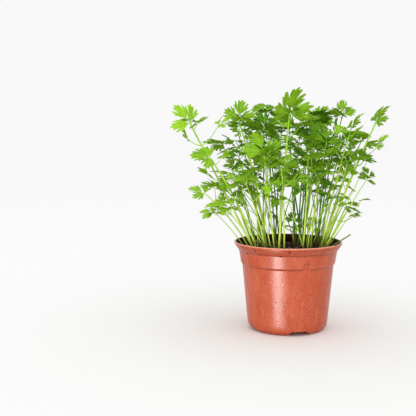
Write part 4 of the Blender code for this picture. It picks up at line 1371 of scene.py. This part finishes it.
def parsley_blade(settings, is_under):
    """A parsley leaf: thin, soft and a little waxy, lit through from behind."""
    made, add, place = new_material("parsley_blade_under" if is_under else "parsley_blade_upper")
    # Real veins are 0.1 to 0.3 mm wide; they are drawn twice as wide, so that they show. Each
    # is the band round a line from the leaflet's foot, mirrored about its midrib.
    along = add("SeparateXYZ", {0: add("UVMap", uv_map="leaf_plan")})
    aside = add("Math", {0: along.node.outputs["Y"]}, operation="ABSOLUTE")
    folded = add("CombineXYZ", {"X": along, "Y": aside})
    veins = 0.0
    for angle, half, strength in VEINS:
        square = (-math.sin(math.radians(angle)), math.cos(math.radians(angle)), 0.0)
        off = add("VectorMath", {0: folded, 1: square}, "Value", operation="DOT_PRODUCT")
        off = add("Math", {0: off}, operation="ABSOLUTE")
        band = add("MapRange", {0: off, 1: 1.6 * half, 2: 0.4 * half, 4: strength})
        veins = add("Math", {0: band, 1: veins}, operation="MAXIMUM")
    # The upper side is a satin green, deeper in some leaves, partly as painted shade; the underside is paler
    # and duller.
    if is_under:
        light, vein_share, roughness, gloss = settings.under, 0.45, 0.65, 0.03
    else:
        light, vein_share, roughness, gloss = settings.bright, 0.55, 0.5, 0.05
    tint = add("Attribute", output="Fac", attribute_name="tint")
    clouds = add("TexNoise", {"Vector": place, "Scale": 1 / (7 * MM)})
    shade = add("MapRange", {0: clouds, 1: 0.3, 2: 0.7, 3: -0.15, 4: 0.15})
    shade = add("Math", {0: shade, 1: tint}, operation="ADD", use_clamp=True)
    if is_under:
        shade = add("Math", {0: shade, 1: 0.6, 2: 0.35}, operation="MULTIPLY_ADD", use_clamp=True)
    colour = add("Mix", {0: shade, 6: settings.deep, 7: light}, 2, data_type="RGBA")
    share = add("Math", {0: veins, 1: vein_share}, operation="MULTIPLY")
    colour = add("Mix", {0: share, 6: colour, 7: settings.vein}, 2, data_type="RGBA")
    # Between its veins the blade swells a little, which breaks up its gloss.
    blister = add("TexNoise", {"Vector": place, "Scale": 1 / (1.8 * MM)})
    blister = add("Math", {0: veins, 1: -0.6, 2: blister}, operation="MULTIPLY_ADD")
    normal = add("Bump", {"Height": blister, "Distance": 0.25 * MM})
    shader = add("BsdfPrincipled", {
        "Base Color": colour, "Roughness": roughness, "Normal": normal, "IOR": 1.42,
        "Specular IOR Level": gloss,
    })
    # Light that comes through both its skins is paler and yellower than light it throws back,
    # and less of it comes through the deeper green leaves, which keeps their painted shade dark.
    share = add("MapRange", {0: shade, 3: 0.04, 4: 0.6})
    glow = add("Mix", {0: share, 6: colour, 7: linear("#E8F468")}, 2, data_type="RGBA")
    through = add("BsdfTranslucent", {"Color": glow, "Normal": normal})
    both = add("MixShader", {0: 0.45, 1: shader, 2: through})
    add("OutputMaterial", {"Surface": both})
    return made


def parsley_stem(settings):
    """A parsley stem: juicy, smooth and ribbed."""
    made, add, place = new_material("parsley_stem")
    height = add("SeparateXYZ", {0: place}, "Z")
    tint = add("Attribute", output="Fac", attribute_name="tint")
    # It is pale near the soil and greener towards its leaves, with fine streaks along it.
    long_way = add("Mapping", {"Vector": place, "Scale": (1.0, 1.0, 0.12)})
    streaks = add("TexNoise", {"Vector": long_way, "Scale": 1 / (1.1 * MM), "Detail": 3.0})
    # Its tint, which is partly painted shade, makes it lighter or a deeper green.
    lightness = add("MapRange", {0: tint, 4: 0.8})
    green = add("Mix", {0: lightness, 6: linear("#3A7A04"), 7: linear("#A0D23C")}, 2, data_type="RGBA")
    pale = add("Mix", {0: tint, 6: linear("#4C8C0C"), 7: settings.stalk}, 2, data_type="RGBA")
    top = add("MapRange", {0: height, 1: 0.125, 2: 0.225})
    streaked = add("MapRange", {0: streaks, 1: 0.4, 2: 0.75, 4: 0.4})
    # Its foot is stained purple-brown, to a height that differs from stem to stem.
    patches = add("TexNoise", {"Vector": place, "Scale": 1 / (5 * MM), "Detail": 3.0})
    uneven = add("Math", {0: patches, 1: 0.08, 2: height}, operation="MULTIPLY_ADD")
    uneven = add("Math", {0: tint, 1: 0.02, 2: uneven}, operation="MULTIPLY_ADD")
    low = add("MapRange", {0: uneven, 1: 0.154, 2: 0.142})
    stained = add("MapRange", {0: streaks, 1: 0.4, 2: 0.56, 3: 0.3})
    stained = add("Math", {0: low, 1: stained}, operation="MULTIPLY")
    # Its lowest centimetre or so is darker towards the soil.
    darkened_near_soil = add("MapRange", {0: height, 1: 0.107, 2: 0.094, 4: 0.8})
    colour = pale
    for share, paint in (
        (top, green), (streaked, linear("#6CA228")), (stained, settings.foot), (darkened_near_soil, linear("#2A2012")),
    ):
        colour = add("Mix", {0: share, 6: colour, 7: paint}, 2, data_type="RGBA")
    normal = add("Bump", {"Height": streaks, "Distance": 0.25 * MM})
    shader = add("BsdfPrincipled", {
        "Base Color": colour, "Roughness": 0.42, "Normal": normal, "IOR": 1.4, "Specular IOR Level": 0.08,
    })
    add("OutputMaterial", {"Surface": shader})
    return made


class POTTEDPARSLEY_OT_stems(bpy.types.Operator):
    """Grow the stems again on the solids' plan, finer and with more leaves"""

    bl_idname = "potted_parsley.stems"
    bl_label = "Stems and leaves"

    def execute(self, context):
        settings = context.scene.parsley_plant
        stems, bare, crowd = grow_plant()
        check_plan(stems)
        rng = np.random.default_rng(FOLIAGE_SEED)
        finishes = [parsley_blade(settings, False), parsley_stem(settings), parsley_blade(settings, True)]
        for stem in stems:
            is_low = stem["tip"][2] < LOW_STEM
            stem["more"] = more_leaves(stem, crowd, min(settings.more, 1 if is_low else 3), rng)
            count = 0 if is_low else SHOOTS[np.searchsorted(SHOOT_EDGES, stem["root"][0])]
            shoots = [grown_shoot(stem, f"{stem['name']}_shoot_{k}", crowd, rng) for k in range(count)]
            stem["shoots"] = [shoot for shoot in shoots if shoot]
        # The shoots on the right stand too close together for more leaves.
        for stem in stems:
            pairs = 0 if stem["root"][0] > SHOOT_EDGES[1] else min(settings.more, 1)
            for shoot in stem["shoots"]:
                shoot["more"] = more_leaves(shoot, crowd, pairs, rng)
        for k, stem in enumerate(stems):
            # A stem's tint is partly painted shade: deeper for many stems inside and under the crown.
            tint = TINTS[k] if k < len(TINTS) else rng.uniform(*OTHER_TINTS)
            shell = Shell()
            radii = TALL_RADII if k < TALL_STEMS else OTHER_RADII
            add_leafy_stem(shell, stem, radii, (FINE, PLAIN), settings, tint, rng)
            for shoot in stem["shoots"]:
                shade = varied(tint, TINT_VARIES, rng)
                add_leafy_stem(shell, shoot, SHOOT_RADII, (SMALL, SMALL), settings, shade, rng)
            name = f"parsley_{k + 1:02d}"
            add_piece(name, shell.mesh(name), finishes, [stem["name"]], 75.0)
        for k, stem in enumerate(bare):
            shell = Shell()
            shell.add_bar(*smooth_stem(stem, BARE_RADII, BARE_SHAPE), tint=BARE_TINT * rng.random())
            name = f"leafless_stem_{k + 1}"
            add_piece(name, shell.mesh(name), finishes[1:2], [stem["name"]])
        return {"FINISHED"}


# ---------------------------------------------------------------- the stage

FLOOR_REACH = 40.0
GLOSS_TARGET = (0.0, 0.0, -0.03)
# Each light's place and target in metres from the pot's axis, its width and height, and what it
# lights. The key leaves the paper alone, which the white walls light evenly by themselves, and
# the weak wash lifts the shade that the plant leaves on it. The strip and the panel only show in
# the pot's gloss: they stand low, where its sloping wall mirrors them.
LIGHTS = {
    "key": ((-0.25, -1.3, 1.15), (0.0, 0.0, 0.14), (0.7, 0.7), "plant"),
    "wash": ((0.0, -0.3, 1.5), (0.0, 0.0, 0.0), (1.5, 1.5), "paper"),
    "strip": ((-0.125, -0.30, -0.05), GLOSS_TARGET, (0.1, 0.12), "gloss"),
    "panel": ((0.22, -0.45, -0.09), GLOSS_TARGET, (0.45, 0.2), "gloss"),
}
CAMERA_PLACE = (0.0, -0.912, 0.231)
CAMERA_YAW, CAMERA_PITCH = 5.67, 5.98  # how far to the left of the pot, and how far down, it looks


def power_setting(name, description, default, high):
    """A light's power in watts."""
    return FloatProperty(name=name, description=description, default=default, min=0.0, max=high)


class StageSettings(bpy.types.PropertyGroup):
    """The floor, lights and camera."""

    floor: colour_setting("Floor", "Colour of the studio floor", "#FEFEFE")
    sky: FloatProperty(
        name="Surrounding light", description="Brightness of the studio's white walls",
        default=0.947, min=0.0, max=3.0,
    )
    key: power_setting("Key light", "Power of the large soft light, in watts", 22.0, 500.0)
    wash: power_setting("Wash light", "Power of the light on the floor, in watts", 1.3, 100.0)
    strip: power_setting("Strip light", "Power of the narrow light in the pot's gloss, in watts", 1.2, 100.0)
    panel: power_setting("Panel light", "Power of the broad light in the pot's gloss, in watts", 0.8, 100.0)
    lens: FloatProperty(
        name="Focal length", description="Focal length of the camera",
        default=70.4, min=20.0, max=200.0, unit="CAMERA",
    )


def facing(direction):
    """The rotation that turns a light or a camera towards a direction."""
    return Vector(direction).to_track_quat("-Z", "Y").to_euler()


def add_softbox(name, power, groups):
    """An oblong area light that faces its target and lights only a group of pieces."""
    place, target, (width, height), lit = LIGHTS[name]
    light = bpy.data.lights.new(name, "AREA")
    light.shape, light.size, light.size_y, light.energy = "RECTANGLE", width, height, power
    lamp = bpy.data.objects.new(name, light)
    bpy.context.scene.collection.objects.link(lamp)
    lamp.location = AXIS + Vector(place)
    lamp.rotation_euler = facing(Vector(target) - Vector(place))
    lamp.visible_camera = False
    lamp.light_linking.receiver_collection = groups[lit]
    if lit == "gloss":
        lamp.visible_diffuse = False
        lamp.light_linking.blocker_collection = groups[lit]


def matt_studio_paper(settings):
    """A roll of matt white studio paper."""
    made, add, _ = new_material("matt_studio_paper")
    # It is even and has no sheen, so that nothing on it draws the eye.
    shader = {"Base Color": settings.floor, "Roughness": 1.0, "Specular IOR Level": 0.0}
    add("OutputMaterial", {"Surface": add("BsdfPrincipled", shader)})
    return made


class POTTEDPARSLEY_OT_stage(bpy.types.Operator):
    """Set up the floor, the soft lights and the camera"""

    bl_idname = "potted_parsley.stage"
    bl_label = "Stage"

    def execute(self, context):
        settings = context.scene.parsley_stage
        scene = context.scene
        mesh = bpy.data.meshes.new("studio_floor")
        corners = [(x * FLOOR_REACH, y * FLOOR_REACH, 0) for x, y in ((-1, -1), (1, -1), (1, 1), (-1, 1))]
        mesh.from_pydata(corners, [], [(0, 1, 2, 3)])
        mesh.materials.append(matt_studio_paper(settings))
        floor = bpy.data.objects.new("studio_floor", mesh)
        members = {
            "plant": list(scene.objects), "paper": [floor], "gloss": [bpy.data.objects["nursery_pot"]],
        }
        scene.collection.objects.link(floor)
        floor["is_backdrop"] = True
        world = bpy.data.worlds.new("studio")
        world.use_nodes = True
        back = world.node_tree.nodes["Background"]
        back.inputs["Color"].default_value = (1, 1, 1, 1)
        back.inputs["Strength"].default_value = settings.sky
        scene.world = world
        groups = {name: bpy.data.collections.new(name) for name in members}
        for name, pieces in members.items():
            for piece in pieces:
                groups[name].objects.link(piece)
        for name in LIGHTS:
            add_softbox(name, getattr(settings, name), groups)
        scene.view_settings.view_transform = "Standard"
        lens = bpy.data.cameras.new("camera")
        lens.lens, lens.sensor_width, lens.clip_start = settings.lens, 36.0, 0.01
        camera = bpy.data.objects.new("camera", lens)
        scene.collection.objects.link(camera)
        yaw, pitch = math.radians(CAMERA_YAW), math.radians(CAMERA_PITCH)
        camera.location = AXIS + Vector(CAMERA_PLACE)
        camera.rotation_euler = facing(
            (-math.sin(yaw) * math.cos(pitch), math.cos(yaw) * math.cos(pitch), -math.sin(pitch))
        )
        scene.camera = camera
        return {"FINISHED"}


class POTTEDPARSLEY_PT_panel(bpy.types.Panel):
    """The settings, and the pieces that they make"""

    bl_idname = "POTTEDPARSLEY_PT_panel"
    bl_label = "Potted parsley"
    bl_space_type = "VIEW_3D"
    bl_region_type = "UI"
    bl_category = "Parsley"

    def draw(self, context):
        for name, group, operator in GROUPS:
            box = self.layout.box()
            for setting in group.__annotations__:
                box.prop(getattr(context.scene, name), setting)
            box.operator(operator)


GROUPS = (
    ("parsley_pot", PotSettings, "potted_parsley.pot"),
    ("parsley_soil", SoilSettings, "potted_parsley.soil"),
    ("parsley_plant", ParsleySettings, "potted_parsley.stems"),
    ("parsley_stage", StageSettings, "potted_parsley.stage"),
)
CLASSES = (
    PotSettings, SoilSettings, ParsleySettings, StageSettings,
    POTTEDPARSLEY_OT_pot, POTTEDPARSLEY_OT_soil, POTTEDPARSLEY_OT_stems, POTTEDPARSLEY_OT_stage,
    POTTEDPARSLEY_PT_panel,
)


def register():
    for made in CLASSES:
        bpy.utils.register_class(made)
    for name, group, _ in GROUPS:
        setattr(bpy.types.Scene, name, PointerProperty(type=group))


def unregister():
    for name, _, _ in GROUPS:
        delattr(bpy.types.Scene, name)
    for made in reversed(CLASSES):
        bpy.utils.unregister_class(made)


def main():
    register()
    bpy.ops.potted_parsley.pot()
    bpy.ops.potted_parsley.soil()
    bpy.ops.potted_parsley.stems()
    bpy.ops.potted_parsley.stage()
    boxes = {"cad": CAD_BOX, "visual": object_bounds()}
    {name: [list(corner) for corner in box] for name, box in boxes.items()}


if __name__ == "__main__":
    main()
